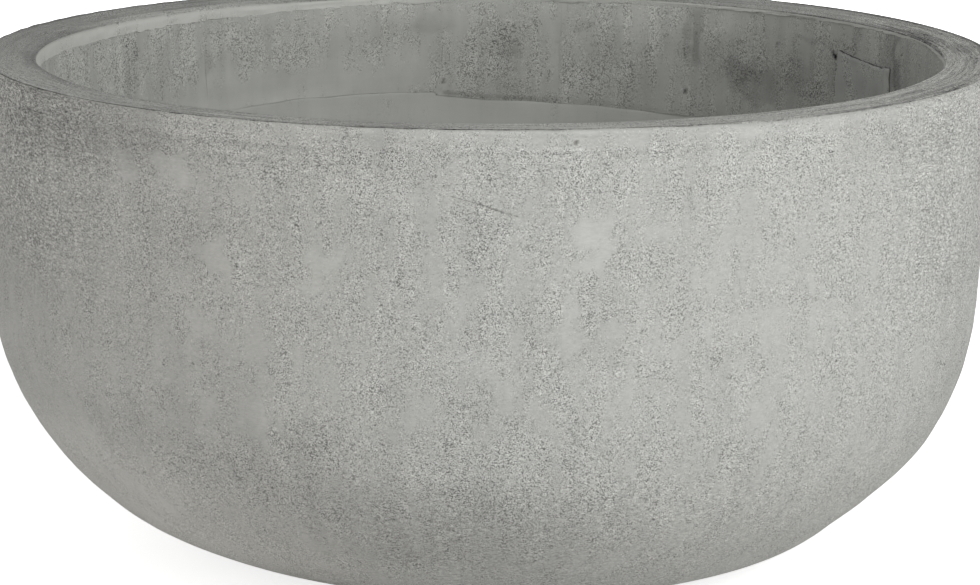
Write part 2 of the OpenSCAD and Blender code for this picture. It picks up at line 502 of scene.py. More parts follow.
def put(tree, kind, **settings):
    """Adds a node with its settings"""
    node = tree.nodes.new(kind)
    for key, value in settings.items():
        setattr(node, key, value)
    return node


def feed(tree, node, sources):
    """Sets each socket that is listed to a value, or links another node's output to it"""
    for socket, source in sources.items():
        if isinstance(source, bpy.types.NodeSocket):
            tree.links.new(source, node.inputs[socket])
        else:
            node.inputs[socket].default_value = source


def calc(tree, operation, *sources, clamp=False):
    """The output of a node that works out a number"""
    node = put(tree, "ShaderNodeMath", operation=operation, use_clamp=clamp)
    feed(tree, node, dict(enumerate(sources)))
    return node.outputs[0]


def off_level(tree, value, level):
    """How far a value is from a level, either way"""
    return calc(tree, "ABSOLUTE", calc(tree, "SUBTRACT", value, level))


def step_between(tree, value, low, high, to_low=0.0, to_high=1.0):
    """A smooth step from one end to the other; low may be the larger one"""
    node = put(tree, "ShaderNodeMapRange", interpolation_type="SMOOTHSTEP")
    ends = {"From Min": low, "From Max": high, "To Min": to_low, "To Max": to_high}
    feed(tree, node, {"Value": value, **ends})
    return node.outputs["Result"]


def noise(tree, vector, scale, detail=2.0, roughness=0.5, distortion=0.0):
    """The output of a noise texture, between 0 and 1"""
    node = put(tree, "ShaderNodeTexNoise", noise_dimensions="3D")
    feed(tree, node, {"Vector": vector, "Scale": scale, "Detail": detail})
    feed(tree, node, {"Roughness": roughness, "Distortion": distortion})
    return node.outputs["Fac"]


def stretched(tree, vector, scale):
    """A vector that is scaled along each of its axes"""
    node = put(tree, "ShaderNodeMapping", vector_type="POINT")
    feed(tree, node, {"Vector": vector, "Scale": scale})
    return node.outputs["Vector"]


def centred_noise(tree, vector, *settings):
    """A noise that swings evenly about 0"""
    return calc(tree, "SUBTRACT", noise(tree, vector, *settings), 0.5)


def shaded(tree, colour, tone):
    """A colour made lighter or darker by a tone"""
    node = put(tree, "ShaderNodeVectorMath", operation="SCALE")
    feed(tree, node, {0: colour, 3: tone})
    return node.outputs[0]


def attribute(tree, name, output="Fac"):
    """Reads an attribute that is painted on the piece"""
    node = put(tree, "ShaderNodeAttribute", attribute_type="GEOMETRY", attribute_name=name)
    return node.outputs[output]


def new_group(name, inputs, outputs):
    """A node group with named sockets; inputs and outputs are (name, kind, default)"""
    tree = bpy.data.node_groups.new(name, "ShaderNodeTree")
    for in_out, rows in (("INPUT", inputs), ("OUTPUT", outputs)):
        for label, kind, value in rows:
            socket = tree.interface.new_socket(name=label, in_out=in_out, socket_type=kind)
            if value is not None:
                socket.default_value = value
    return tree, tree.nodes.new("NodeGroupInput"), tree.nodes.new("NodeGroupOutput")


def cement_group():
    """Colour and relief of bare cement: clouds, brush lines, drips and fine pits"""
    flt, vec, col = "NodeSocketFloat", "NodeSocketVector", "NodeSocketColor"
    tree, given, made = new_group(
        "Cement surface",
        [
            ("Place", vec, None),
            ("Lay", vec, None),
            ("Colour", col, (0.45, 0.45, 0.43, 1)),
            ("Tone", flt, 0.0),
            ("Warmth", flt, 0.0),
            ("Pitting", flt, 0.85),
            ("Raggedness", flt, 3.5),
            ("Pit Size", flt, 0.0008),
            ("Pit Shade", flt, 0.5),
            ("Clouds", flt, 0.06),
            ("Brush Lines", flt, 0.03),
            ("Scratches", flt, 0.0),
            ("Drag", flt, 0.0),
            ("Drips", flt, 0.04),
        ],
        [("Colour", col, None), ("Height", flt, None), ("Roughness", flt, None)],
    )
    want = given.outputs
    place, lay = want["Place"], want["Lay"]
    # How thickly the pits lie: the painted amount, broken into ragged islands and upright runs
    islands = noise(tree, place, 26.0, 6.0, 0.72, 0.3)
    runs = noise(tree, stretched(tree, lay, (75, 75, 20)), 1.0, 4.0, 0.65, 0.2)
    field = calc(tree, "SUBTRACT", calc(tree, "MULTIPLY_ADD", islands, 0.9, runs), 0.95)
    cover = calc(tree, "MULTIPLY_ADD", field, want["Raggedness"], want["Pitting"])
    cover = calc(tree, "MINIMUM", calc(tree, "MAXIMUM", cover, 0.0), 2.2)
    bold = calc(tree, "MULTIPLY", calc(tree, "MULTIPLY_ADD", cover, 0.7, 0.3), want["Pit Shade"])
    # Pits: short worm-like grooves with a light rim, more of them where the cover is high; the rims are
    # painted highlights
    swirl = noise(tree, place, calc(tree, "DIVIDE", 1 / 2.4, want["Pit Size"]), 1.0, 0.5, 0.5)
    off = off_level(tree, swirl, 0.5)
    groove = step_between(tree, off, 0.06, 0.012)
    bank = calc(tree, "MULTIPLY", step_between(tree, off, 0.055, 0.10), step_between(tree, off, 0.22, 0.13))
    broken = noise(tree, place, calc(tree, "DIVIDE", 1 / 1.7, want["Pit Size"]), 2.0, 0.6, 0.2)
    keep = step_between(tree, calc(tree, "MULTIPLY_ADD", cover, 0.30, broken), 0.70, 0.75)
    pits = calc(tree, "MULTIPLY", groove, keep)
    lit_banks = calc(tree, "MULTIPLY", bank, keep)
    # Broader tones
    broad = centred_noise(tree, place, 7.0, 4.0, 0.6, 0.3)
    mottle = centred_noise(tree, place, 46.0, 4.0, 0.65, 0.6)
    brush = centred_noise(tree, stretched(tree, lay, (5, 5, 260)), 1.0, 3.0, 0.6)
    drips = centred_noise(tree, stretched(tree, lay, (95, 95, 6)), 1.0, 3.0, 0.55)
    # Scratches along the stroke: a thin light line where the field crosses one level, a dark one at another
    scored = noise(tree, stretched(tree, lay, (7, 7, 210)), 1.0, 2.0, 0.6)
    light_line, dark_line = (
        step_between(tree, off_level(tree, scored, level), 0.025, 0.0) for level in (0.56, 0.44)
    )
    scratches = calc(tree, "SUBTRACT", light_line, dark_line)
    # Short light and dark strokes, where the wet face was dragged
    dragged = noise(tree, stretched(tree, lay, (170, 170, 430)), 1.0, 3.0, 0.65, 0.4)
    light_stroke = step_between(tree, dragged, 0.51, 0.62)
    strokes = calc(tree, "SUBTRACT", light_stroke, step_between(tree, dragged, 0.49, 0.38))
    tone = calc(tree, "ADD", 1.0, want["Tone"])
    layers = [(broad, "Clouds"), (mottle, "Clouds"), (brush, "Brush Lines"), (drips, "Drips")]
    layers += [(scratches, "Scratches"), (strokes, "Drag")]
    for field, amount in layers:
        tone = calc(tree, "MULTIPLY_ADD", field, calc(tree, "MULTIPLY", want[amount], 2.0), tone)
    # The grooves are painted darker, partly their own colour and partly painted shade; the banks lighter,
    # as painted highlights
    shade = calc(tree, "MULTIPLY_ADD", lit_banks, 0.8, calc(tree, "MULTIPLY", pits, -1.0))
    tone = calc(tree, "MULTIPLY", tone, calc(tree, "MULTIPLY_ADD", cover, -0.05, 1.04))
    tone = calc(tree, "MULTIPLY_ADD", calc(tree, "MULTIPLY", shade, bold), tone, tone)
    warm = put(tree, "ShaderNodeMix", data_type="RGBA", blend_type="MULTIPLY")
    feed(tree, warm, {0: want["Warmth"], 6: want["Colour"], 7: (1.0, 0.96, 0.94, 1.0)})
    relief = calc(tree, "MULTIPLY_ADD", lit_banks, 0.4, calc(tree, "MULTIPLY", pits, -1.0))
    relief = calc(tree, "MULTIPLY_ADD", brush, calc(tree, "MULTIPLY", want["Brush Lines"], 8.0), relief)
    relief = calc(tree, "MULTIPLY_ADD", mottle, 0.6, relief)
    feed(tree, made, {"Colour": shaded(tree, warm.outputs[2], tone), "Height": relief})
    feed(tree, made, {"Roughness": step_between(tree, pits, 0.0, 1.0, 0.80, 0.94)})


def moulded_group():
    """Colour, gloss and grain of moulded plastic, rubber and bar steel"""
    flt, vec, col = "NodeSocketFloat", "NodeSocketVector", "NodeSocketColor"
    tree, given, made = new_group(
        "Moulded surface",
        [
            ("Place", vec, None),
            ("Colour", col, (0.03, 0.03, 0.03, 1)),
            ("Grain Size", flt, 0.0008),
            ("Roughness", flt, 0.5),
        ],
        [("Colour", col, None), ("Height", flt, None), ("Roughness", flt, None)],
    )
    want = given.outputs
    grain = noise(tree, want["Place"], calc(tree, "DIVIDE", 1.0, want["Grain Size"]), 2.0, 0.6)
    dust = step_between(tree, noise(tree, want["Place"], 55.0, 4.0, 0.65), 0.45, 0.75)
    lighter = calc(tree, "MULTIPLY_ADD", dust, 0.5, 0.85)
    tone = calc(tree, "MULTIPLY_ADD", calc(tree, "SUBTRACT", grain, 0.5), 0.25, lighter)
    feed(tree, made, {"Colour": shaded(tree, want["Colour"], tone), "Height": grain})
    feed(tree, made, {"Roughness": calc(tree, "MULTIPLY_ADD", dust, 0.2, want["Roughness"], clamp=True)})


def shared_finish(name, group_name, colour, relief, relief_m):
    """A material whose colour, roughness and relief come from a shared group, and the group's node in it"""
    material = bpy.data.materials.new(name)
    material.use_nodes = True
    tree = material.node_tree
    group = put(tree, "ShaderNodeGroup", node_tree=bpy.data.node_groups[group_name])
    where = put(tree, "ShaderNodeTexCoord")
    feed(tree, group, {"Place": where.outputs["Object"], "Colour": (*colour, 1.0)})
    bump = put(tree, "ShaderNodeBump")
    feed(tree, bump, {"Strength": relief, "Distance": relief_m, "Height": group.outputs["Height"]})
    shader = tree.nodes["Principled BSDF"]
    feed(tree, shader, {"Base Color": group.outputs["Colour"], "Roughness": group.outputs["Roughness"]})
    feed(tree, shader, {"Normal": bump.outputs["Normal"]})
    return material, group


def cement(
    name, colour, look, clouds=0.05, brush=0.03, drips=0.04, relief=0.5, pit_size=1.0, pit_shade=1.0,
    ragged=3.5, scratches=0.0, drag=0.0,
):
    """A cement finish. Tone, pits and warmth are painted on the piece; an amount may name a painted one"""
    material, group = shared_finish(name, "Cement surface", colour, relief, 0.0003)
    tree = material.node_tree
    painted = {"Tone": "tone", "Warmth": "warm", "Pitting": "pits"}
    painted |= {"Brush Lines": brush, "Scratches": scratches, "Drag": drag}
    for socket, amount in painted.items():
        feed(tree, group, {socket: attribute(tree, amount) if isinstance(amount, str) else amount})
    feed(tree, group, {"Lay": attribute(tree, "lay", "Vector"), "Raggedness": ragged})
    feed(tree, group, {"Pit Size": look.pit_size * pit_size, "Pit Shade": look.pit_shade * pit_shade})
    feed(tree, group, {"Clouds": clouds, "Drips": drips})
    feed(tree, tree.nodes["Principled BSDF"], {"Specular IOR Level": 0.3})
    return material


def moulded(name, colour, grain, roughness, metallic=0.0):
    """A plain moulded or rolled finish with a fine grain, for plastic, rubber and steel"""
    material, group = shared_finish(name, "Moulded surface", colour, 0.25, 0.0002)
    tree = material.node_tree
    feed(tree, group, {"Grain Size": grain, "Roughness": roughness})
    feed(tree, tree.nodes["Principled BSDF"], {"Metallic": metallic})
    return material


def begin(context):
    """The sizes in millimetres and the finishes, with the shared node groups built once"""
    if "Cement surface" not in bpy.data.node_groups:
        cement_group()
    if "Moulded surface" not in bpy.data.node_groups:
        moulded_group()
    return Sizes(context.scene.bowl_sizes), context.scene.cement_look


# ---------------------------------------------------------------- marks on the cement

# Outer wall: angle, depth below the rim in mm, half width in degrees, half height in mm, tone, pitting
OUTER_MARKS = (
    # broad soft places
    (-32, 88, 4.5, 30, -0.07, 0.0),
    (-12, 8, 4.0, 7, -0.08, 0.0),
    (-12, 44, 4.0, 14, 0.08, 0.0),
    (24, 70, 7.0, 24, 0.0, -0.18),
    (-4, 60, 3.0, 20, 0.0, -0.30),
    (8.5, 150, 4.0, 18, -0.06, 0.0),
    (56.5, 68, 3.5, 44, -0.05, 0.20),
    # light upright runs
    (10.5, 84, 1.9, 22, 0.07, -0.65),
    (2.3, 82, 0.9, 28, 0.05, -0.45),
    (-3.6, 136, 0.9, 33, 0.05, -0.35),
    (8, 140, 1.2, 22, 0.05, -0.4),
    (2.3, 190, 1.6, 20, 0.05, -0.5),
    (-24.5, 222, 0.9, 20, 0.04, -0.5),
    (-33.6, 42, 2.3, 14, 0.06, -0.95),
    (-41, 44, 1.4, 12, 0.04, -0.9),
    (-29.5, 100, 2.0, 12, 0.05, -0.8),
    (-17.5, 103, 1.8, 16, 0.05, -0.65),
    (-31.5, 190, 0.9, 62, 0.05, -0.3),
    # dark upright bands
    (-37.5, 94, 1.3, 58, -0.06, 0.1),
    (1.5, 85, 2.6, 26, -0.035, 0.4),
    (-1.5, 84, 1.0, 24, -0.05, 0.3),
    # stains
    (23.7, 170, 1.1, 7, -0.10, 0.5),
    (26, 183, 0.9, 4, -0.08, 0.5),
    (59, 147, 2.0, 11, -0.09, 0.5),
    (49, 150, 1.3, 9, -0.06, 0.4),
    (-61, 198, 0.8, 5, -0.10, 0.4),
    (-29, 258, 1.3, 14, -0.06, 0.3),
    (-2, 262, 4.0, 6, -0.04, 0.2),
)
# Air hole: place across and depth below the rim, and radius, in mm; then how deep it is
AIR_HOLE = (59.0, 9.3, 2.3)
AIR_HOLE_DEEP = 1.7
# Hairline crack: its points across and below the rim, in mm; then how deep each stretch is
CRACK = ((-27, 46.5), (-8, 51.5), (9, 57.5), (20, 60.5), (27, 61.5))
CRACK_DEEP = (0.5, 0.7, 0.4, 0.25)
# Level bands round the outer wall: depth, half height, from, to, tone, pitting
OUTER_BANDS = (
    (17.5, 1.8, -85, 40, -0.06, 0.3),
    (26, 2.0, -85, -10, -0.045, 0.3),
    (47, 1.5, 18, 42, -0.04, 0.2),
    (81, 1.8, -36, -13, -0.04, 0.2),
    (108, 2.2, -80, -45, -0.04, 0.2),
    (133, 4.0, -84, 84, -0.03, 0.25),
    (178, 2.6, -70, -20, -0.03, 0.2),
)


def away_from(x, y, start, end):
    """Distance of points from a straight stroke, and how far along it they lie"""
    run = (end[0] - start[0], end[1] - start[1])
    along = ((x - start[0]) * run[0] + (y - start[1]) * run[1]) / (run[0] ** 2 + run[1] ** 2)
    along = np.clip(along, 0.0, 1.0)
    return np.hypot(x - start[0] - along * run[0], y - start[1] - along * run[1]), along


def outer_marks(az, depth):
    """Tone and pitting that the listed marks add, with edges that wander"""
    tone, pits = np.zeros(len(az)), np.zeros(len(az))
    az_off = 0.7 * swell(az, depth, 31, 30, 24)
    depth_off = 2.2 * swell(az, depth, 32, 26, 22)
    for middle, deep, half_az, half_d, shade, pit in OUTER_MARKS:
        inside = hump(turned(az, middle) + az_off, 0, half_az * 1.25, 0.7)
        inside *= hump(depth + depth_off, deep, half_d * 1.15, 0.55)
        tone += shade * inside
        pits += pit * inside
    for deep, half, start, end, shade, pit in OUTER_BANDS:
        inside = hump(depth + 0.35 * depth_off, deep, half * 1.6, 0.9)
        inside *= smooth(start - 4, start + 4, az) * (1 - smooth(end - 6, end + 6, az))
        inside *= 0.5 + 0.5 * smooth(-0.8, 0.8, swell(az, depth, 33, 60, 400))
        tone += shade * inside
        pits += pit * inside
    return tone, pits


# ---------------------------------------------------------------- operators


class BOWLPLANTER_OT_stage(bpy.types.Operator):
    """Make the camera, the soft studio light and the pale floor"""

    bl_idname = "bowlplanter.stage"
    bl_label = "Stage"
    # Place in metres, turn in degrees and focal length for a sensor 36 mm wide, fitted to the photograph
    camera_place = (0.0, -2.77261, 0.78465)
    camera_turn = (78.0199, -0.2641, 0.0460)
    focal_length = 129.67

    def execute(self, context):
        light = context.scene.studio_light
        scene = context.scene
        lens = bpy.data.cameras.new("Camera")
        lens.sensor_width = 36.0
        lens.lens = self.focal_length
        lens.clip_start, lens.clip_end = 0.05, 60.0
        camera = bpy.data.objects.new("Camera", lens)
        camera.location = self.camera_place
        camera.rotation_euler = [math.radians(a) for a in self.camera_turn]
        scene.collection.objects.link(camera)
        scene.camera = camera
        scene.view_settings.view_transform = "Standard"

        self.lamp(scene, "Key", az=52, up=24, reach=3.2, size=(2.6, 1.8), level=light.key)
        self.lamp(scene, "Fill", az=-22, up=12, reach=3.4, size=(2.2, 1.4), level=light.fill)
        self.lamp(scene, "Back", az=180, up=0, reach=3.6, size=(2.6, 0.36), level=light.back)
        self.world(scene, light.around)
        self.floor(scene)
        return {"FINISHED"}

    def lamp(self, scene, name, az, up, reach, size, level):
        """A soft panel aimed at the bowl; level is how bright a white surface facing it becomes"""
        target = Vector((0, 0, 0.2))
        a, e = math.radians(az), math.radians(up)
        way = Vector((math.sin(a) * math.cos(e), -math.cos(a) * math.cos(e), math.sin(e)))
        data = bpy.data.lights.new(name, "AREA")
        data.shape = "RECTANGLE"
        data.size, data.size_y = size
        data.energy = level * math.pi**2 * reach**2
        lamp = bpy.data.objects.new(name, data)
        lamp.location = target + way * reach
        lamp.rotation_euler = way.to_track_quat("Z", "Y").to_euler()
        scene.collection.objects.link(lamp)

    def seen(self, tree):
        """1 for what the camera, the gloss and clear things see, 0 for the light that falls on the bowl"""
        path = put(tree, "ShaderNodeLightPath")
        seen = calc(tree, "MAXIMUM", path.outputs["Is Camera Ray"], path.outputs["Is Transmission Ray"])
        return calc(tree, "MAXIMUM", seen, path.outputs["Is Glossy Ray"])

    def world(self, scene, level):
        """Even light all round; what the camera and the gloss see of it is white"""
        world = bpy.data.worlds.new("Studio")
        world.use_nodes = True
        scene.world = world
        tree = world.node_tree
        strength = calc(tree, "MULTIPLY_ADD", self.seen(tree), 1.0 - level, level)
        feed(tree, tree.nodes["Background"], {"Color": (1, 1, 1, 1), "Strength": strength})

    def floor(self, scene):
        """A pale matt floor that looks nearly white; it throws no light of its own on the bowl"""
        bm = bmesh.new()
        bmesh.ops.create_grid(bm, x_segments=2, y_segments=2, size=9.0)
        mesh = as_mesh(bm, "Floor")
        floor = bpy.data.objects.new("Floor", mesh)
        scene.collection.objects.link(floor)
        material = bpy.data.materials.new("Pale floor")
        material.use_nodes = True
        tree = material.node_tree
        shader = tree.nodes["Principled BSDF"]
        glow = calc(tree, "MULTIPLY", self.seen(tree), 0.74)
        feed(tree, shader, {"Base Color": (0.86, 0.86, 0.86, 1)})
        feed(tree, shader, {"Roughness": 0.9, "Specular IOR Level": 0.1})
        feed(tree, shader, {"Emission Color": (1, 1, 1, 1), "Emission Strength": glow})
        mesh.materials.append(material)


class BOWLPLANTER_OT_shell(bpy.types.Operator):
    """Build the cast shell, with its fine outer face, the hoop's channel and the pads' recesses"""

    bl_idname = "bowlplanter.shell"
    bl_label = "Cast shell"
    steps = 520
    # Radii in mm between which the base is flat rings; the recesses for the pads are filled in between
    ring_in, ring_out = 104.0, 157.0
    # Depth below the rim down to which the outer face is meshed more finely, in mm
    fine_deep = 34

    def outline(self, s):
        """Half section up the outer face, over the rim and down inside; also where it leaves the rim"""
        arris = (s.wall_r(s.bowl_h - s.arris_r) - s.arris_r, s.bowl_h - s.arris_r)
        bend = s.bend(0, 4.7)
        fine = (s.wall_r(s.bowl_h - self.fine_deep), s.bowl_h - self.fine_deep)
        chan_out, chan_in = s.hoop_r + s.hoop_channel / 2, s.hoop_r - s.hoop_channel / 2
        top, chan_z = s.bowl_h - s.topping_t, s.bowl_h - s.topping_t - s.hoop_channel
        rim_in = s.rim_r - s.edge_w
        points = line((self.ring_out, 0), (s.base_r, 0), 6)
        points += bend[:-1]
        points += line(bend[-1], fine, 3.5)
        points += line(fine, (arris[0] + s.arris_r, arris[1]), 1.55)
        points += corner(arris, s.arris_r, 0, 90, 5)
        seen = len(points)
        points += [(rim_in + 0.3, s.bowl_h), (rim_in, s.bowl_h - 0.3), (rim_in, top)]
        points += [(chan_out, top), (chan_out, chan_z), (chan_in, chan_z), (chan_in, top)]
        points += line((s.wall_r(top, s.shell_t), top), s.bend(s.shell_t, 30)[-1], 40)
        points += s.bend(s.shell_t, 30)[::-1]
        points += line((s.base_r, s.shell_t), (s.sleeve_hole_r, s.shell_t), 75)[1:]
        points += [(s.sleeve_hole_r, s.shell_t), (s.sleeve_hole_r, 0), (self.ring_in, 0)]
        return points, seen

    def close_base(self, bm, s):
        """Fills the flat base between the spun rings, and sinks the four recesses into it"""
        rim_edges = [e for e in bm.edges if e.is_boundary]
        rounds = []
        for i in range(FOOT_PADS):
            middle = point_at(45 + 360 / FOOT_PADS * i, s.pad_ring_r, s.stand)
            made = bmesh.ops.create_circle(bm, segments=48, radius=s.pad_hole_r * MM)
            bmesh.ops.translate(bm, verts=made["verts"], vec=middle)
            rounds.append(list({e for v in made["verts"] for e in v.link_edges}))
        edges = rim_edges + [e for ring in rounds for e in ring]
        bmesh.ops.triangle_fill(bm, use_beauty=True, use_dissolve=False, edges=edges, normal=(0, 0, -1))
        for ring in rounds:
            made = bmesh.ops.extrude_edge_only(bm, edges=ring)["geom"]
            verts = [g for g in made if isinstance(g, bmesh.types.BMVert)]
            edges = [g for g in made if isinstance(g, bmesh.types.BMEdge) and g.is_boundary]
            bmesh.ops.translate(bm, verts=verts, vec=(0, 0, PAD_SUNK * MM))
            bmesh.ops.contextual_create(bm, geom=edges)

    def refine(self, bm, s):
        """Finer mesh where the air hole and the crack are"""
        for reach in (5.0, 3.2, 2.0):
            edges = []
            for edge in bm.edges:
                middle = 0.5 * (edge.verts[0].co + edge.verts[1].co) / MM
                if middle.y > 0 or math.hypot(middle.x, middle.y) < s.rim_r * 0.95:
                    continue
                across = math.atan2(middle.x, -middle.y) * s.rim_r
                depth = s.top - middle.z
                away = [away_from(across, depth, a, b)[0] for a, b in zip(CRACK, CRACK[1:])]
                away.append(math.dist((across, depth), AIR_HOLE[:2]) - AIR_HOLE[2])
                if min(away) < reach:
                    edges.append(edge)
            bmesh.ops.subdivide_edges(bm, edges=edges, cuts=1, use_grid_fill=True)

    def execute(self, context):
        s, look = begin(context)
        outline, seen = self.outline(s)
        bm = bmesh.new()
        turn_outline(bm, outline, self.steps, s.stand, closed=False)
        self.close_base(bm, s)
        self.refine(bm, s)
        skin = Skin(as_mesh(bm, "bowl_shell"))
        lengths = distances(outline)
        outer = (skin.run > 0) & (skin.run <= lengths[seen] + 0.01)
        depth = s.top - skin.z
        self.shape(skin, s, depth, outer)
        self.paint(skin, s, depth, outer)
        self.map(skin, s, lengths[seen], lengths[-1])
        material = cement(
            "Cast cement", look.cast, look, clouds=0.04, brush="brush", drips=0.05, ragged=2.6, drag="drag"
        )
        finish_piece(skin.mesh, "bowl_shell", material)
        return {"FINISHED"}

    def shape(self, skin, s, depth, outer):
        """Gives the even shell its hand-made form, with the air hole and the crack"""
        az = skin.az
        free = smooth(0.0, 12.0, depth) * smooth(8, 60, skin.z)
        out, down = slump(az, skin.z)
        r = skin.r + lean(az, skin.z) + np.where(outer, out, 0)
        push = -0.45 * (1 + 0.55 * swell(az, depth, 1, 130, 95)) * free
        push += -0.16 * swell(az, depth, 2, 42, 26) * free
        push += -0.10 * swell(az, depth, 3, 160, 5.5) * hump(depth, 18, 30, 0.7)
        push += -0.05 * swell(az, depth, 4, 14, 14) * free
        r = r + np.where(outer, np.minimum(push, 0.35), 0)
        r = r - np.where(outer, self.air_hole(s, az, depth) + self.crack(s, az, depth), 0)
        r = r - np.where(outer, 0.25 * (1 - smooth(30, 90, depth)), 0)
        z = skin.z - rim_rounding(az, s.rim_r - skin.r) * (depth < 3.0) * (skin.r > s.hoop_r)
        z = z - np.where(outer, down, 0)
        r = r - np.where(outer, 0.25 * rim_rounding(az, 0 * az) * (1 - smooth(0, 9, depth)), 0)
        # The bare edge has settled a little below the topping where the joint is open
        sunk = np.maximum(0.50 + 0.16 * ripple(az, 8, 24), 0.15) * joint_open(az)
        z = z - sunk * (1 - smooth(1.5, 6, depth)) * (skin.r > s.rim_r - s.edge_w - 0.1)
        skin.write(az, r, z)

    def air_hole(self, s, az, depth):
        """Depth of the air hole, in mm"""
        across = np.radians(az) * s.rim_r
        away = np.hypot((across - AIR_HOLE[0]) / 1.1, depth - AIR_HOLE[1]) / AIR_HOLE[2]
        bearing = np.arctan2(depth - AIR_HOLE[1], across - AIR_HOLE[0])
        away = away * (1 + 0.16 * np.sin(2 * bearing + 0.6) + 0.12 * np.sin(3 * bearing))
        return AIR_HOLE_DEEP * (1 - smooth(0.15, 1.0, away))

    def crack(self, s, az, depth):
        """Depth of the hairline crack, in mm"""
        cut = np.zeros(len(az))
        wander = 0.25 * np.sin(az * 9.0)
        for start, end, deep in zip(CRACK, CRACK[1:], CRACK_DEEP):
            away, along = away_from(np.radians(az) * s.rim_r, depth, start, end)
            cut = np.maximum(cut, deep * (1 - smooth(0.15, 0.75, np.abs(away + wander))) * (along < 1))
        return cut

    def paint(self, skin, s, depth, outer):
        az = skin.az
        mark_tone, mark_pits = outer_marks(az, depth)
        islands = swell(az, depth, 5, 62, 48)
        uprights = swell(az, depth, 6, 24, 160)
        top_band = 1 - smooth(9, 15, depth + 1.2 * ripple(az, 7, 70))
        edge_painted_shade = 0.30 * smooth(60, 85, np.abs(az)) + 0.22 * around(az, -122, 36, 0.6)
        edge_painted_shade *= 1 - smooth(1.5, 4, depth)
        hole = self.air_hole(s, az, depth) / AIR_HOLE_DEEP
        crack = self.crack(s, az, depth) / max(CRACK_DEEP)
        # The shades and the pitting change from left to right, and come back together round the back
        az = az * (1 - smooth(104, 178, np.abs(az)))
        left = 1 - smooth(-34, 4, az)
        low = smooth(215, 330, depth)
        pits = 1.02 + 0.50 * smooth(-36, -60, az) * (1 - smooth(80, 150, depth)) + 1.4 * mark_pits
        pits += 0.36 * smooth(42, 56, az) * (1 - smooth(140, 210, depth))
        pits += 0.42 * hump(az, -12, 34, 0.6) * hump(depth, 256, 46, 0.6)
        pits += 0.10 * smooth(30, 65, az) + 0.08 * islands + 0.07 * uprights
        # A level band under the rim is pitted all along; two broad places are calmer
        pits += 0.26 * hump(depth, 25, 28, 0.7) * (1 - smooth(28, 50, az))
        pits += 0.20 * hump(az, 14, 30, 0.6) * hump(depth, 285, 36, 0.7)
        pits -= 0.22 * hump(az, 26, 16, 0.8) * hump(depth, 150, 90, 0.6)
        pits -= 0.24 * hump(az, -30, 20, 0.8) * hump(depth, 195, 80, 0.6)
        pits -= 0.25 * smooth(-38, -54, az) * smooth(95, 165, depth)
        pits -= 0.45 * top_band * (0.1 + 0.9 * smooth(-30, 10, az))
        tone = mark_tone - 0.010 * islands + 0.014 * uprights + 0.03 * top_band
        # Broad painted shade and light: darker at the far left and right and at the front's foot, lighter
        # low at the left
        tone -= 0.08 * smooth(-38, -62, az) * (1 - smooth(150, 210, depth))
        tone += 0.19 * smooth(-22, -54, az) * smooth(232, 280, depth)
        tone -= 0.11 * hump(az, -8, 36, 0.8) * smooth(248, 292, depth)
        tone -= 0.09 * smooth(50, 72, az) * (1 - smooth(220, 280, depth))
        tone -= 0.19 * hump(az, -50, 24, 0.7) * (1 - smooth(26, 62, depth))
        tone -= 0.10 * hump(az, -30, 24, 0.7) * hump(depth, 245, 48, 0.7)
        tone += 0.16 * hump(az, -36, 26, 0.8) * smooth(296, 340, depth)
        tone -= 0.07 * hump(az, -4, 22, 0.8) * hump(depth, 300, 52, 0.6)
        tone -= 0.07 * hump(az, 0, 8, 0.8) * hump(depth, 192, 30, 0.7)
        tone -= 0.06 * hump(az, -31, 11, 0.8) * hump(depth, 180, 50, 0.7)
        tone -= 0.08 * hump(az, 51, 14, 0.7) * (1 - smooth(28, 52, depth))
        tone -= 0.07 * smooth(54, 70, az) * hump(depth, 262, 60, 0.6)
        tone += 0.09 * hump(az, -15, 14, 0.7) * smooth(316, 342, depth)
        # Painted shade darkens the bare edge at the sides and round the back, as dark as the topping, most
        # at the back left
        tone -= edge_painted_shade
        # Painted shade darkens the air hole and the crack
        tone -= 0.30 * smooth(0.1, 0.9, hole) + 0.38 * smooth(0.1, 0.9, crack)
        warm = 0.45 * left + 0.2 * low + 0.8 * smooth(0.1, 0.6, hole)
        skin.paint("tone", np.where(outer, tone, -0.03))
        skin.paint("pits", np.where(outer, np.clip(pits, 0.0, 1.3), 0.5))
        skin.paint("warm", np.where(outer, warm, 0.3))
        skin.paint("brush", 0.03 + (0.08 + 0.06 * left) * (1 - smooth(18, 75, depth)))
        dragged = 0.03 + 0.16 * smooth(-34, -60, az) * (1 - smooth(90, 180, depth))
        dragged += 0.11 * smooth(42, 56, az) * (1 - smooth(120, 200, depth))
        skin.paint("drag", dragged + 0.06 * smooth(240, 280, depth) * smooth(-25, -5, az))
        skin.lay(skin.run, 1.5)

    def map(self, skin, s, seen_run, end):
        """The outer face fills two bands, the base has a square, and what the lining hides is squeezed"""
        u, v, corners = strip_map(skin, 2, ((0, 0), (seen_run, 0.94), (end, 1)), room=0.84)
        low = corners.mean(skin.z[corners.vert]) < s.stand + PAD_SUNK + 0.2
        near = corners.mean(skin.r[corners.vert]) < s.base_r
        flat = (low & near)[corners.face]
        across, along = (skin.at[corners.vert, :2] * 0.15 / (2 * s.base_r)).T
        skin.write_map(np.where(flat, 0.08 + across, u), np.where(flat, 0.92 + along, v))


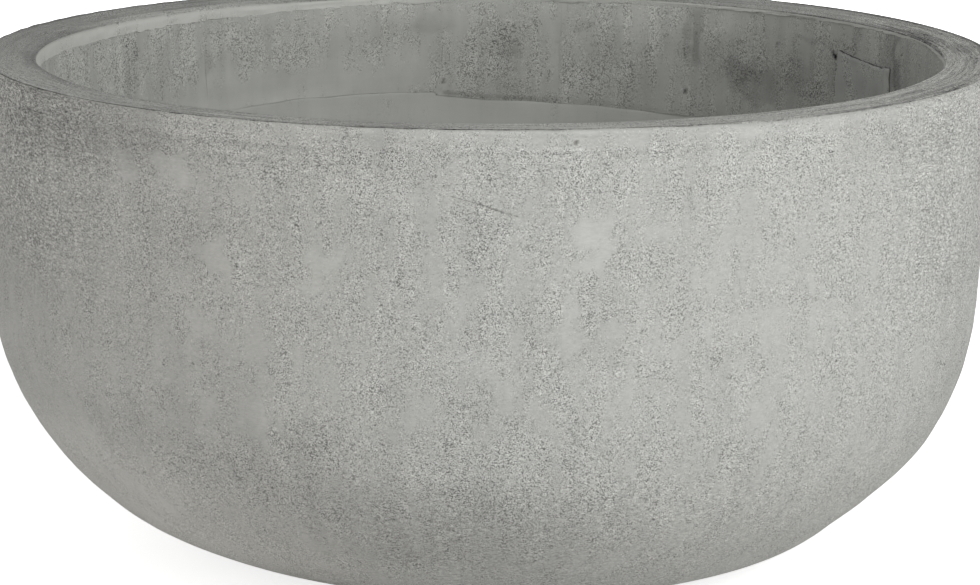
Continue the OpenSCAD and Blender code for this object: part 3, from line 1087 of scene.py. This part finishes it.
class BOWLPLANTER_OT_topping(bpy.types.Operator):
    """Build the trowelled ring on the rim, with its lip turned down inside"""

    bl_idname = "bowlplanter.topping"
    bl_label = "Rim topping"
    steps = 720
    # Rounding of the inner edge, in mm
    arris = 1.1

    def outline(self, s):
        """Half section over the top and down the lip; also where its outer edge and the lip's face end"""
        inner_z = s.bowl_h - s.rim_fall
        base_z = s.bowl_h - s.topping_t
        foot_z = s.bowl_h - s.lip_h
        centre = (s.mouth_r + self.arris, inner_z - self.arris)
        points = [(s.wall_r(base_z, s.lining_face), base_z), (s.topping_r, base_z)]
        points += [(s.topping_r, s.bowl_h - 3), (s.topping_r, s.bowl_h - 0.5)]
        points += [(s.topping_r - 0.15, s.bowl_h - 0.12)]
        edge_end = len(points) - 1
        points += line((s.topping_r - 0.5, s.bowl_h), (centre[0] + 0.2, inner_z), 1.75)
        points += corner(centre, self.arris, 90, 180, 4)
        points += line((s.mouth_r, centre[1]), (s.wall_r(foot_z, s.wall_t), foot_z), 1.6)[1:]
        points += [(s.wall_r(foot_z, s.wall_t), foot_z)]
        face_end = len(points) - 1
        points += [(s.wall_r(foot_z, s.lining_face), foot_z)]
        return points, edge_end, face_end

    def execute(self, context):
        s, look = begin(context)
        outline, edge_end, face_end = self.outline(s)
        lengths = distances(outline)
        skin = turned_skin("rim_topping", outline, self.steps, s.stand)
        inward = s.rim_r - skin.r
        edge_run, face_run = lengths[edge_end], lengths[face_end]
        mouth_run = face_run - (s.lip_h - s.rim_fall - self.arris)
        self.shape(skin, s, inward, edge_run, mouth_run, face_run)
        self.paint(skin, inward, edge_run, mouth_run)
        knots = ((0, 0), (lengths[edge_end - 2], 0.08), (face_run, 0.94), (lengths[-1] + 9, 1))
        u, v, _ = strip_map(skin, 8, knots)
        skin.write_map(u, v)
        material = cement(
            "Trowelled cement", look.trowelled, look, drips=0.02, brush="brush", scratches="scratches",
            drag="drag",
        )
        finish_piece(skin.mesh, "rim_topping", material)
        return {"FINISHED"}

    def shape(self, skin, s, inward, edge_run, mouth_run, face_run):
        """Gives the topping its trowel lines, its rolled and worn edges and the lip's ragged foot"""
        az, depth, run = skin.az, s.top - skin.z, skin.run
        on_top = smooth(edge_run, edge_run + 2, run) * (1 - smooth(mouth_run - 3, mouth_run, run))
        on_lip = (run > mouth_run - 0.5) & (run <= face_run + 0.01)
        foot = (run > face_run + 0.01) & (depth > s.lip_h - 0.1)
        # The lip's lower edge wanders; its face is a little proud of the sheets
        start_depth = s.rim_fall + self.arris
        worn = 1.3 * around(az, -132, 50, 0.7)
        lip_share = np.clip((depth - start_depth) / (s.lip_h - start_depth), 0, 1)
        new_depth = np.where(on_lip | foot, start_depth + lip_share * (lip_foot(az) - start_depth), depth)
        z = s.top - new_depth
        z = z - worn * smooth(mouth_run - 8, mouth_run - 2, run) * (1 - smooth(2, 7, depth - start_depth))
        proud = (0.3 + 0.2 * swell(az, depth, 21, 35, 9)) * smooth(0, 0.35, lip_share)
        r = skin.r - np.where(on_lip, proud, 0)
        # The mouth isn't quite round
        r = r + 0.45 * ripple(az, 22, 170) * smooth(366, 357, skin.r)
        # Trowel lines on top, and the rolled edge at the right
        z = z - 0.16 * on_top * (1 + swell(az, inward, 23, 220, 5.5))
        z = z - 0.22 * on_top * (1 + 0.5 * swell(az, inward, 24, 120, 30))
        z = z - rim_rounding(az, inward) * (depth < 6) * (run < mouth_run)
        shift = 0.05 - (0.34 + 0.10 * ripple(az, 9, 17)) * joint_open(az)
        r = r + shift * (1 - smooth(5, 8, inward))
        skin.write(az, r, z)

    def paint(self, skin, inward, edge_run, mouth_run):
        az, run = skin.az, skin.run
        streaks = swell(az, inward, 25, 130, 4.2) + 0.7 * swell(az, inward, 26, 260, 9)
        islands = swell(az, inward, 27, 60, 30)
        lip = smooth(mouth_run - 0.6, mouth_run + 0.6, run)
        top = 1 - lip
        left = around(az, -88, 58, 0.6)
        rubbed = around(az, 76, 62, 0.5)
        right = around(az, 112, 34, 0.5)
        streaky = 0.07 - 0.045 * left - 0.035 * rubbed
        # The top takes its streaks and islands, and the painted shade of the rim's top by angle
        tone = (streaky * streaks + 0.03 * islands + follow(az, RIM_PAINTED_SHADE)) * top
        low = smooth(mouth_run + 1, mouth_run + 9, run + 1.2 * swell(az, run, 28, 9, 9))
        # The lip's smooth face is painted lighter than the top; how much changes round the bowl as painted
        # light, most at the left, the front and the back left, little at the right and straight behind
        lip_tone_and_light = 0.25 - 0.23 * np.maximum(smooth(60, 100, az), smooth(-166, -178, az))
        lip_tone_and_light += 0.13 * hump(az, 146, 14, 0.5) - 0.10 * around(az, -171.5, 4, 0.6)
        tone += lip * lip_tone_and_light * (1 - 0.15 * low)
        # Painted shade darkens the edge above the lip at the left and at the far right
        tone -= 0.16 * top * smooth(mouth_run - 13, mouth_run - 1, run) * left
        tone -= 0.18 * top * smooth(mouth_run - 6, mouth_run - 1, run) * right
        # Painted shade darkens the outer edge too, most of all where it is rolled over
        rolled = 0.20 * hump(az, 52, 26, 0.6) + 0.60 * hump(az, 112, 34, 0.5)
        rolled += 0.12 * hump(az, 8, 16, 0.7) + 0.24 * around(az, -122, 26, 0.6)
        tone -= rolled * (1 - smooth(6, 12, inward))
        tone -= 0.10 * hump(az, -34, 18, 0.6) * hump(inward, 11, 7, 0.6)
        # Towards the inner edge, painted shade darkens the left and one place at the far right; two places
        # at the right are painted lighter
        inner = smooth(24, 36, inward) * top
        tone -= (0.10 * around(az, -66, 30, 0.6) + 0.26 * hump(az, 107, 12, 0.5)) * inner
        tone += (0.20 * hump(az, 51, 13, 0.6) + 0.10 * hump(az, 70, 10, 0.6)) * inner
        # Where the joint stands open, the topping's flank in it is painted dark, as the shade in the joint
        flank_shade = 0.28 + 0.16 * hump(az, 10, 24, 0.5)
        tone -= flank_shade * (1 - smooth(edge_run, edge_run + 0.9, run)) * joint_open(az)
        # A ragged light line runs beside the joint in front; the worn arris at the back left, which faces
        # the key lamp, is painted lighter as painted light
        beside = hump(inward + 0.8 * ripple(az, 30, 14), 7.5, 2.6, 0.7)
        beside *= smooth(-0.4, 0.9, swell(az, inward, 29, 11, 7))
        tone += 0.40 * beside * hump(az, -26, 46, 0.4)
        tone += 0.34 * around(az, -130, 25, 0.6) * smooth(mouth_run - 13, mouth_run - 3, run) * top
        tone -= 0.10 * hump(az, 14, 20, 0.7) * smooth(16, 32, inward) * top
        pits = 1.0 + 0.15 * islands - 0.95 * lip * (1 - 0.35 * low)
        front = around(az, -20, 60, 0.5)
        skin.paint("tone", tone)
        skin.paint("pits", np.clip(pits, 0, 1.6))
        skin.paint("warm", 0.15)
        skin.paint("brush", (0.12 + 0.24 * rubbed + 0.14 * hump(az, 0, 90, 0.5)) * top)
        skin.paint("scratches", (0.03 + 0.22 * rubbed + 0.08 * front) * top)
        skin.paint("drag", (0.03 + 0.07 * rubbed + 0.06 * front) * top)
        skin.lay(inward, 1.7)


class BOWLPLANTER_OT_sheets(bpy.types.Operator):
    """Build the hand-laid sheets that line the upper inner wall"""

    bl_idname = "bowlplanter.sheets"
    bl_label = "Wall sheets"

    def execute(self, context):
        s, look = begin(context)
        material = cement(
            "Laid sheet", look.sheet, look, clouds=0.08, brush=0.03, drips=0.05, pit_size=1.6,
            pit_shade=0.66,
        )
        for index in range(len(SHEET_SEAMS) - 1):
            self.sheet(s, index, material)
        return {"FINISHED"}

    def sheet(self, s, index, material):
        """Builds one sheet between two seams"""
        name = f"wall_sheet_{index + 1}"
        start, end = SHEET_SEAMS[index], SHEET_SEAMS[index + 1]
        top, foot = s.bowl_h - s.lip_h, s.bowl_h - s.sheet_drop
        outline, face_end = slab_outline(s, top, foot, s.wall_t, s.lining_face, 0.25, 1.8, 6)
        lengths = distances(outline)
        seen = lengths[face_end]
        steps = round((end - start) / 360 * 2 * math.pi * s.mouth_r / 2.0)
        skin = turned_skin(name, outline, steps, s.stand, start, end - start)
        depth = s.top - skin.z
        az = start + turned(skin.az, start) % 360.0
        az = np.where(az > end + 1, az - 360, az)
        # The upper edge lies under the topping's lip, the lower edge and the seams wander
        down = np.clip((depth - s.lip_h) / (s.sheet_drop - s.lip_h), 0, 1)
        across = np.clip((az - start) / (end - start), 0, 1)
        upper, lower = lip_foot(az) + 0.05, sheet_foot(az)
        new_depth = upper + down * (lower - upper)
        uneven = (0.6 + 0.5 * np.sin(new_depth / 7.0) ** 2) / s.mouth_r * 90 / math.pi
        left = seam_line(index, new_depth) + SEAM_WIDTH[index] * uneven
        right = seam_line(index + 1, new_depth) - SEAM_WIDTH[(index + 1) % len(SEAM_WIDTH)] * uneven
        right = left + turned(right, left) % 360.0
        new_az = left + across * (right - left)
        # The face lies in or out by its set and its swells, and falls away at the seams
        proud, shade = SHEET_SET[index]
        edge = np.minimum(across, 1 - across) * (right - left) * s.mouth_r * math.pi / 180
        push = 0.5 * proud + 0.12 * hump(new_depth, 92, 16, 0.95)
        push += 0.32 * swell(az, depth, 40 + index, 70, 60) + 0.10 * swell(az, depth, 60 + index, 18, 30)
        push *= smooth(0, 1.3, edge) * 0.65 + 0.35
        push -= 0.06 * (1 - smooth(0, 1.6, edge))
        r = skin.r - np.where(skin.run <= seen + 0.01, np.clip(push, -0.7, 1.6), 0)
        # The wall's line is followed when a point moves up or down
        r = r + (depth - new_depth) * s.slant
        z = s.top - new_depth
        skin.write(new_az, r + lean(new_az, z), z)
        skin.az = new_az
        self.paint(skin, new_depth, index, shade)
        slab_map(skin, across, seen, lengths[-1], (0.01, 0.94, 0.98, 0.995))
        finish_piece(skin.mesh, name, material)

    def paint(self, skin, depth, index, shade):
        az = skin.az
        tone, pits = inner_marks(turned(az, 0), depth)
        islands = swell(az, depth, 80 + index, 55, 40)
        uprights = swell(az, depth, 95, 16, 120)
        rough = around(az, -120, 40, 0.5)
        plain = smooth(50, 75, depth) * around(az, -150, 30, 0.4)
        tone = tone + shade + (0.022 + 0.015 * rough) * uprights * (1 - plain) + 0.02 * islands
        # Painted shade: darker further down the wall, and just under the lip at the left
        tone -= 0.13 * smooth(10, 45, depth) + 0.10 * rough * (1 - smooth(16, 38, depth))
        skin.paint("tone", tone)
        skin.paint("pits", np.clip(0.80 + 0.10 * islands + 0.10 * uprights - 0.35 * plain + pits, 0, 1.4))
        skin.paint("warm", 0.1)
        skin.lay(depth)


# Inner wall: angle, depth, half width in degrees, half height in mm, tone, pitting
INNER_MARKS = (
    # left: rough, with dark runs
    (-127, 42, 10.0, 32, -0.03, 0.35),
    (-121, 44, 1.0, 30, -0.10, 0.3),
    (-117, 42, 0.7, 20, -0.08, 0.3),
    (-110, 38, 1.0, 24, -0.07, 0.3),
    (-104, 40, 4.0, 30, -0.03, 0.35),
    (-112, 40, 12.0, 34, 0.0, 0.35),
    (-106.5, 32, 3.0, 22, 0.10, 0.0),
    (-136.4, 40, 0.5, 24, -0.08, 0.3),
    # back: a rough sheet between two smoother ones
    (179, 60, 8.0, 40, -0.05, 0.25),
    (178, 42, 3.0, 18, -0.12, 0.3),
    (166.5, 29, 1.7, 3.5, -0.16, 0.3),
    (170.5, 76, 0.7, 20, 0.04, -0.3),
    (160, 62, 9.0, 36, -0.04, 0.20),
    (158.2, 28, 3.5, 26, 0.14, 0.0),
    (-171.3, 24, 3.5, 12, -0.13, 0.0),
    (-166, 62, 5.0, 28, 0.02, -0.25),
    (-152, 80, 14.0, 12, 0.02, -0.35),
    (-148, 40, 9.0, 26, 0.0, 0.15),
    (-173.0, 79, 0.25, 3, -0.50, 0.3),
    (-172.2, 94, 0.22, 3.5, -0.50, 0.3),
    (-173.8, 74, 0.6, 20, -0.08, 0.3),
    # right: painted shade, dark strips and stains
    # painted shade over the whole right side
    (121, 50, 20, 70, -0.07, 0.0),
    (150, 33, 1.3, 30, -0.22, 0.2),
    (150.6, 80, 0.5, 3, -0.60, 0.2),
    (145, 50, 4.5, 26, -0.05, 0.1),
    (142, 58, 3.0, 12, -0.10, 0.5),
    (130, 66, 5.0, 9, -0.09, 0.5),
    (111.5, 24, 3.0, 30, -0.16, 0.1),
    (139, 68, 5.0, 20, -0.20, 0.1),
    (131.5, 52, 3.5, 12, -0.12, 0.1),
    # painted shade above the patch's upper edge
    (126, 25, 8.0, 4, -0.12, 0.2),
    (120, 16, 0.7, 12, -0.12, 0.2),
    (136, 31, 0.5, 1.2, -0.45, 0.0),
    (124.6, 31, 0.8, 3.2, -0.80, 0.0),
    (124.4, 48, 0.6, 16, -0.10, 0.0),
    (110.3, 24, 0.8, 22, -0.20, 0.1),
    (108.8, 46, 1.5, 14, -0.18, 0.1),
)


def inner_marks(az, depth):
    """Tone and pitting that the listed marks add; the edges of the narrow ones wander less"""
    tone, pits = np.zeros(len(az)), np.zeros(len(az))
    az_off = 0.5 * swell(az, depth, 71, 18, 26)
    depth_off = 1.6 * swell(az, depth, 72, 22, 18)
    for middle, deep, half_az, half_d, shade, pit in INNER_MARKS:
        wander = min(1.0, half_az)
        inside = hump(turned(az, middle) + az_off * wander, 0, half_az * 1.2, 0.6)
        inside *= hump(depth + depth_off * wander, deep, half_d * 1.1, 0.5)
        tone += shade * inside
        pits += pit * inside
    scratch = hump(depth + 0.5 * np.sin(az / 3.0), 44, 1.4, 0.8) * around(az, 166, 18, 0.3)
    tone -= 0.10 * scratch * smooth(-0.5, 0.6, swell(az, depth, 73, 12, 400))
    # A soft band of painted shade lies along the foot of the sheets at the back
    foot = hump(depth, follow(az, SHEET_FOOT) - 2.2, 3.4, 0.7)
    dark = around(az, 178.5, 9.5, 0.2) + 0.5 * around(az, 160, 12, 0.8)
    tone -= foot * (0.24 * dark + 0.03 * around(az, -165, 9, 0.6))
    # The foot of the sheets at the back left is painted lighter, as painted light
    tone += 0.11 * smooth(76, 92, depth) * around(az, -152, 24, 0.5)
    return tone, pits


class BOWLPLANTER_OT_lining(bpy.types.Operator):
    """Build the smooth lining of the lower wall and the floor"""

    bl_idname = "bowlplanter.lining"
    bl_label = "Floor lining"
    steps = 480

    def outline(self, s):
        """Half section down the wall, over the floor and back underneath; also where the seen face ends"""
        top = s.bowl_h - s.sheet_drop
        face = [(s.wall_r(top, s.wall_t) + 0.15, top)]
        face += line((s.wall_r(top - 0.2, s.wall_t), top - 0.2), s.bend(s.wall_t, 4)[-1], 2.4)
        face += s.bend(s.wall_t, 4.2)[::-1]
        face += line((s.base_r, s.wall_t), (s.flange_hole_r, s.wall_t), 5.5)[1:]
        face += [(s.flange_hole_r, s.wall_t)]
        under = s.lining_face
        back = [(s.flange_hole_r, s.wall_t - 4), (s.sleeve_hole_r, s.wall_t - 4)]
        back += [(s.sleeve_hole_r, under), (s.base_r, under)]
        back += s.bend(under, 30)[1:] + [(s.wall_r(top, under), top)]
        return face + back, len(face) - 1

    def execute(self, context):
        s, look = begin(context)
        outline, face_end = self.outline(s)
        lengths = distances(outline)
        skin = turned_skin("floor_lining", outline, self.steps, s.stand)
        self.shape(skin, s, lengths[face_end])
        self.map(skin, lengths[face_end], lengths[-1])
        material = cement(
            "Smooth lining", look.lining, look, clouds=0.04, brush=0.02, drips=0.03, relief=0.3,
            pit_shade=0.5,
        )
        finish_piece(skin.mesh, "floor_lining", material)
        return {"FINISHED"}

    def shape(self, skin, s, seen):
        """Shapes and paints the lining; its upper edge follows the sheets' lower edge"""
        az, run = skin.az, skin.run
        below = s.top - skin.z - s.sheet_drop
        near_top = 1 - smooth(0, 55, below)
        move = (sheet_foot(az) + 0.05 - s.sheet_drop) * near_top
        z = skin.z - move
        r = skin.r - move * s.slant * near_top
        hole = s.flange_hole_r + 0.05
        free = smooth(hole, 60, skin.r) * (run <= seen + 0.01)
        push = 0.45 * swell(az, run, 51, 150, 110) + 0.12 * swell(az, run, 52, 45, 30)
        push -= 0.10 * (1 - smooth(0, 26, below))
        steep = np.clip((skin.z - s.stand - s.wall_t) / 180, 0, 1)
        r = r - push * free * steep
        z = z + 0.6 * push * free * (1 - steep) * smooth(hole, 80, skin.r)
        skin.write(az, r + lean(az, z), z)
        islands = swell(az, run, 53, 120, 90)
        fade = around(az, -153, 30, 0.5) * (1 - smooth(0, 20, below))
        skin.paint("tone", 0.02 * islands + 0.012 * swell(az, run, 54, 30, 90) - 0.08 * fade)
        skin.paint("pits", np.clip(0.15 + 0.10 * islands, 0, 1))
        skin.paint("warm", 0.1)
        skin.lay(run)

    def map(self, skin, seen, end):
        """The seen face is a disc; the back lies in a thin ring round it"""
        corners = Corners(skin)
        face = np.interp(corners.run, (0, seen), (0.455, 0.03))
        back = np.interp(corners.run, (seen, end), (0.46, 0.495))
        back = np.where(corners.closing(end), 0.498, back)
        hidden = (np.maximum.reduceat(corners.run, corners.first) > seen + 0.01)[corners.face]
        reach = np.where(hidden, back, face)
        angle = np.radians(corners.az)
        skin.write_map(0.5 + reach * np.sin(angle), 0.5 - reach * np.cos(angle))


class BOWLPLANTER_OT_patch(bpy.types.Operator):
    """Build the small sheet laid over the wall, with its lifted edge"""

    bl_idname = "bowlplanter.patch"
    bl_label = "Repair patch"
    # Its sides in degrees, its upper and lower edge below the rim and its thickness in mm
    left, right = 111.2, 123.8
    upper, lower = 30.0, 82.0
    thick = 3.0

    def execute(self, context):
        s, look = begin(context)
        back_inset = s.wall_t + s.bond_gap
        top, foot = s.bowl_h - self.upper, s.bowl_h - self.lower
        outline, face_end = slab_outline(s, top, foot, back_inset + self.thick, back_inset, 0.7, 1.3, 2.6)
        lengths = distances(outline)
        seen = lengths[face_end]
        skin = turned_skin("repair_patch", outline, 60, s.stand, self.left, self.right - self.left)
        across = np.clip((skin.az - self.left) / (self.right - self.left), 0, 1)
        self.shape(skin, s, across, seen)
        slab_map(skin, across, seen, lengths[-1], (0.01, 0.8, 0.97, 0.99))
        material = cement("Patch cement", look.patch, look, drips=0.05, pit_size=1.4, pit_shade=0.7)
        finish_piece(skin.mesh, "repair_patch", material)
        return {"FINISHED"}

    def shape(self, skin, s, across, seen):
        """Shapes and paints the patch"""
        az, depth = skin.az, s.top - skin.z
        down = np.clip((depth - self.upper) / (self.lower - self.upper), 0, 1)
        # Upper edge: high at the far corner, a sag before the near one, and a torn notch
        edge_az = (0, 0.08, 0.15, 0.2, 0.45, 0.7, 0.9, 1)
        ragged = np.interp(across, edge_az, (33.6, 33.0, 35.4, 34.2, 33.0, 31.4, 29.2, 27.6))
        ragged = ragged + 0.25 * ripple(az, 55, 9)
        new_depth = ragged + down * (self.lower - ragged)
        edge = np.minimum(across, 1 - across) * s.mouth_r * math.radians(self.right - self.left)
        lift = 0.9 * (1 - smooth(0.0, 0.16, down)) * hump(across, 0.3, 0.5, 0.9)
        lift = np.maximum(lift + 0.3 * swell(az, depth, 56, 30, 25) - 0.35, 0.0)
        near = np.where(across < 0.5, 2.3, 1.4) * (1 - smooth(0, 3.2, edge))
        thin = np.minimum(near + 1.2 * (1 - smooth(0, 0.05, down)), 2.4) * (skin.run <= seen + 0.01)
        r = skin.r - lift + thin + (depth - new_depth) * s.slant
        wobble = 0.22 * np.sin(new_depth / 5.0) + 0.12 * np.sin(new_depth / 2.1)
        new_az = az + wobble * (1 - 2 * across) * 0.6
        z = s.top - new_depth
        skin.write(new_az, r + lean(new_az, z), z)
        islands = swell(az, depth, 57, 30, 30)
        # Painted shade darkens the thin upper edge, and painted highlights lighten the two side edges
        tone = 0.05 * islands - 0.13 - 0.75 * (down < 0.005)
        tone += 0.12 * smooth(0.96, 0.99, across) + 0.16 * (1 - smooth(0.03, 0.07, across))
        skin.paint("tone", tone)
        skin.paint("pits", np.clip(0.65 + 0.3 * islands, 0, 1))
        skin.paint("warm", 0.1)
        skin.lay(depth)


def lathe(name, outline, steps, bevel, middle=(0.0, 0.0)):
    """A small turned piece with bevelled edges; its outline ends on its own axis or closes on itself"""
    bm = bmesh.new()
    chain = [bm.verts.new(Vector((r, 0, z)) * MM) for r, z in outline]
    edges = [bm.edges.new(pair) for pair in zip(chain, chain[1:])]
    if outline[0][0] > 0:
        edges.append(bm.edges.new((chain[-1], chain[0])))
    spin(bm, chain + edges, steps)
    bmesh.ops.remove_doubles(bm, verts=bm.verts[:], dist=0.01 * MM)
    bmesh.ops.recalc_face_normals(bm, faces=bm.faces[:])
    sharp = [e for e in bm.edges if e.is_manifold and e.calc_face_angle() > math.radians(30)]
    bmesh.ops.bevel(
        bm, geom=sharp, offset=bevel * MM, offset_type="OFFSET", segments=2,
        profile=0.5, affect="EDGES", material=-1, clamp_overlap=True,
    )
    bmesh.ops.translate(bm, verts=bm.verts[:], vec=Vector((*middle, 0)) * MM)
    return as_mesh(bm, name)


class BOWLPLANTER_OT_drain(bpy.types.Operator):
    """Build the drain sleeve in the floor and the rubber plug that lifts out of it"""

    bl_idname = "bowlplanter.drain"
    bl_label = "Drain"

    def execute(self, context):
        s, look = begin(context)
        plastic = moulded("Black plastic", look.plastic, 0.0006, 0.55)
        rubber = moulded("Black rubber", look.rubber, 0.0005, 0.72)
        # Radii of the outlet, the socket, the sleeve and its flange; heights are from the lining's face
        bore, socket, outside, flange = 12.7, 18, 23, 33
        foot = -s.wall_t
        sleeve = (
            (bore, foot), (outside, foot), (outside, -4), (flange, -4), (flange, 0),
            (30.6, 0), (30.2, -0.5), (29.4, -0.5), (29.0, 0),
            (socket, 0), (socket, -20), (bore, -20),
        )
        # The plug: a stem with three seals, a cap with a groove round it, and a grip
        plug = (
            (0, -19.7), (17.0, -19.7), (17.7, -18), (17.7, -14.6), (17.2, -14), (17.2, -12.6),
            (17.7, -12), (17.7, -8.6), (17.2, -8), (17.2, -6.6), (17.7, -6), (17.7, 0),
            (27, 0), (27, 3.6), (25.4, 5), (21, 5), (20.6, 4.6), (19.6, 4.6), (19.2, 5),
            (8.2, 5), (6.4, 6.2), (6, 8), (6, 12.6), (7.2, 15), (9.2, 16.6), (10, 18), (10, 19.6),
            (9.0, 20.7), (7.6, 21), (0, 21),
        )
        floor_z = s.stand + s.wall_t
        mesh = lathe("drain_sleeve", [(r, floor_z + z) for r, z in sleeve], 128, 0.3)
        finish_piece(mesh, "drain_sleeve", plastic)
        mesh = lathe("drain_plug", [(r, floor_z + z) for r, z in plug], 96, 0.35)
        finish_piece(mesh, "drain_plug", rubber, body=PLUG)
        return {"FINISHED"}


class BOWLPLANTER_OT_feet(bpy.types.Operator):
    """Build the four rubber pads under the base"""

    bl_idname = "bowlplanter.feet"
    bl_label = "Foot pads"

    def execute(self, context):
        s, look = begin(context)
        rubber = moulded("Pad rubber", look.rubber, 0.0006, 0.78)
        high = s.stand + PAD_SUNK
        pad = [(0, 0.5), (3.4, 0.5), (4, 0), (7.4, 0), (8, 0.5), (10, 0.5), (10.6, 0), (13.4, 0), (14, 0.5)]
        pad += [(15.4, 0.5), (16, 0), (18.5, 0), (20, 1.5), (20, high), (0, high)]
        for number in range(1, FOOT_PADS + 1):
            name = f"foot_pad_{number}"
            low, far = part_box(name)
            middle = (low + far) / 2 / MM
            mesh = lathe(name, pad, 72, 0.2, middle=middle.xy)
            finish_piece(mesh, name, rubber)
        return {"FINISHED"}


class BOWLPLANTER_OT_hoop(bpy.types.Operator):
    """Give the steel bar in the rim its finish"""

    bl_idname = "bowlplanter.hoop"
    bl_label = "Rim hoop"

    def execute(self, context):
        _, look = begin(context)
        steel = moulded("Bar steel", look.steel, 0.0009, 0.45, metallic=1.0)
        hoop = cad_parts["rim_hoop"]
        if not hoop.material_slots:
            hoop.data.materials.append(steel)
        for row in hoop.material_slots:
            row.material = steel
        return {"FINISHED"}


class BOWLPLANTER_PT_panel(bpy.types.Panel):
    """The bowl planter's pieces, sizes and finishes"""

    bl_idname = "BOWLPLANTER_PT_panel"
    bl_label = "Bowl Planter"
    bl_space_type = "VIEW_3D"
    bl_region_type = "UI"
    bl_category = "Bowl Planter"

    def draw(self, context):
        layout = self.layout
        for operator in OPERATORS:
            layout.operator(operator.bl_idname)
        for group in ("bowl_sizes", "cement_look", "studio_light"):
            box = layout.box()
            props = getattr(context.scene, group)
            for name in props.__annotations__:
                box.prop(props, name)


OPERATORS = (
    BOWLPLANTER_OT_stage,
    BOWLPLANTER_OT_shell,
    BOWLPLANTER_OT_topping,
    BOWLPLANTER_OT_sheets,
    BOWLPLANTER_OT_lining,
    BOWLPLANTER_OT_patch,
    BOWLPLANTER_OT_drain,
    BOWLPLANTER_OT_feet,
    BOWLPLANTER_OT_hoop,
)
PROPERTY_GROUPS = (
    ("bowl_sizes", BowlSizes),
    ("cement_look", CementLook),
    ("studio_light", StudioLight),
)


def register():
    for name, group in PROPERTY_GROUPS:
        bpy.utils.register_class(group)
        setattr(bpy.types.Scene, name, bpy.props.PointerProperty(type=group))
    for item in (*OPERATORS, BOWLPLANTER_PT_panel):
        bpy.utils.register_class(item)


def unregister():
    for item in (BOWLPLANTER_PT_panel, *reversed(OPERATORS)):
        bpy.utils.unregister_class(item)
    for name, group in reversed(PROPERTY_GROUPS):
        delattr(bpy.types.Scene, name)
        bpy.utils.unregister_class(group)


def main():
    register()
    for operator in OPERATORS:
        module, call = operator.bl_idname.split(".")
        getattr(getattr(bpy.ops, module), call)()


if __name__ == "__main__":
    main()
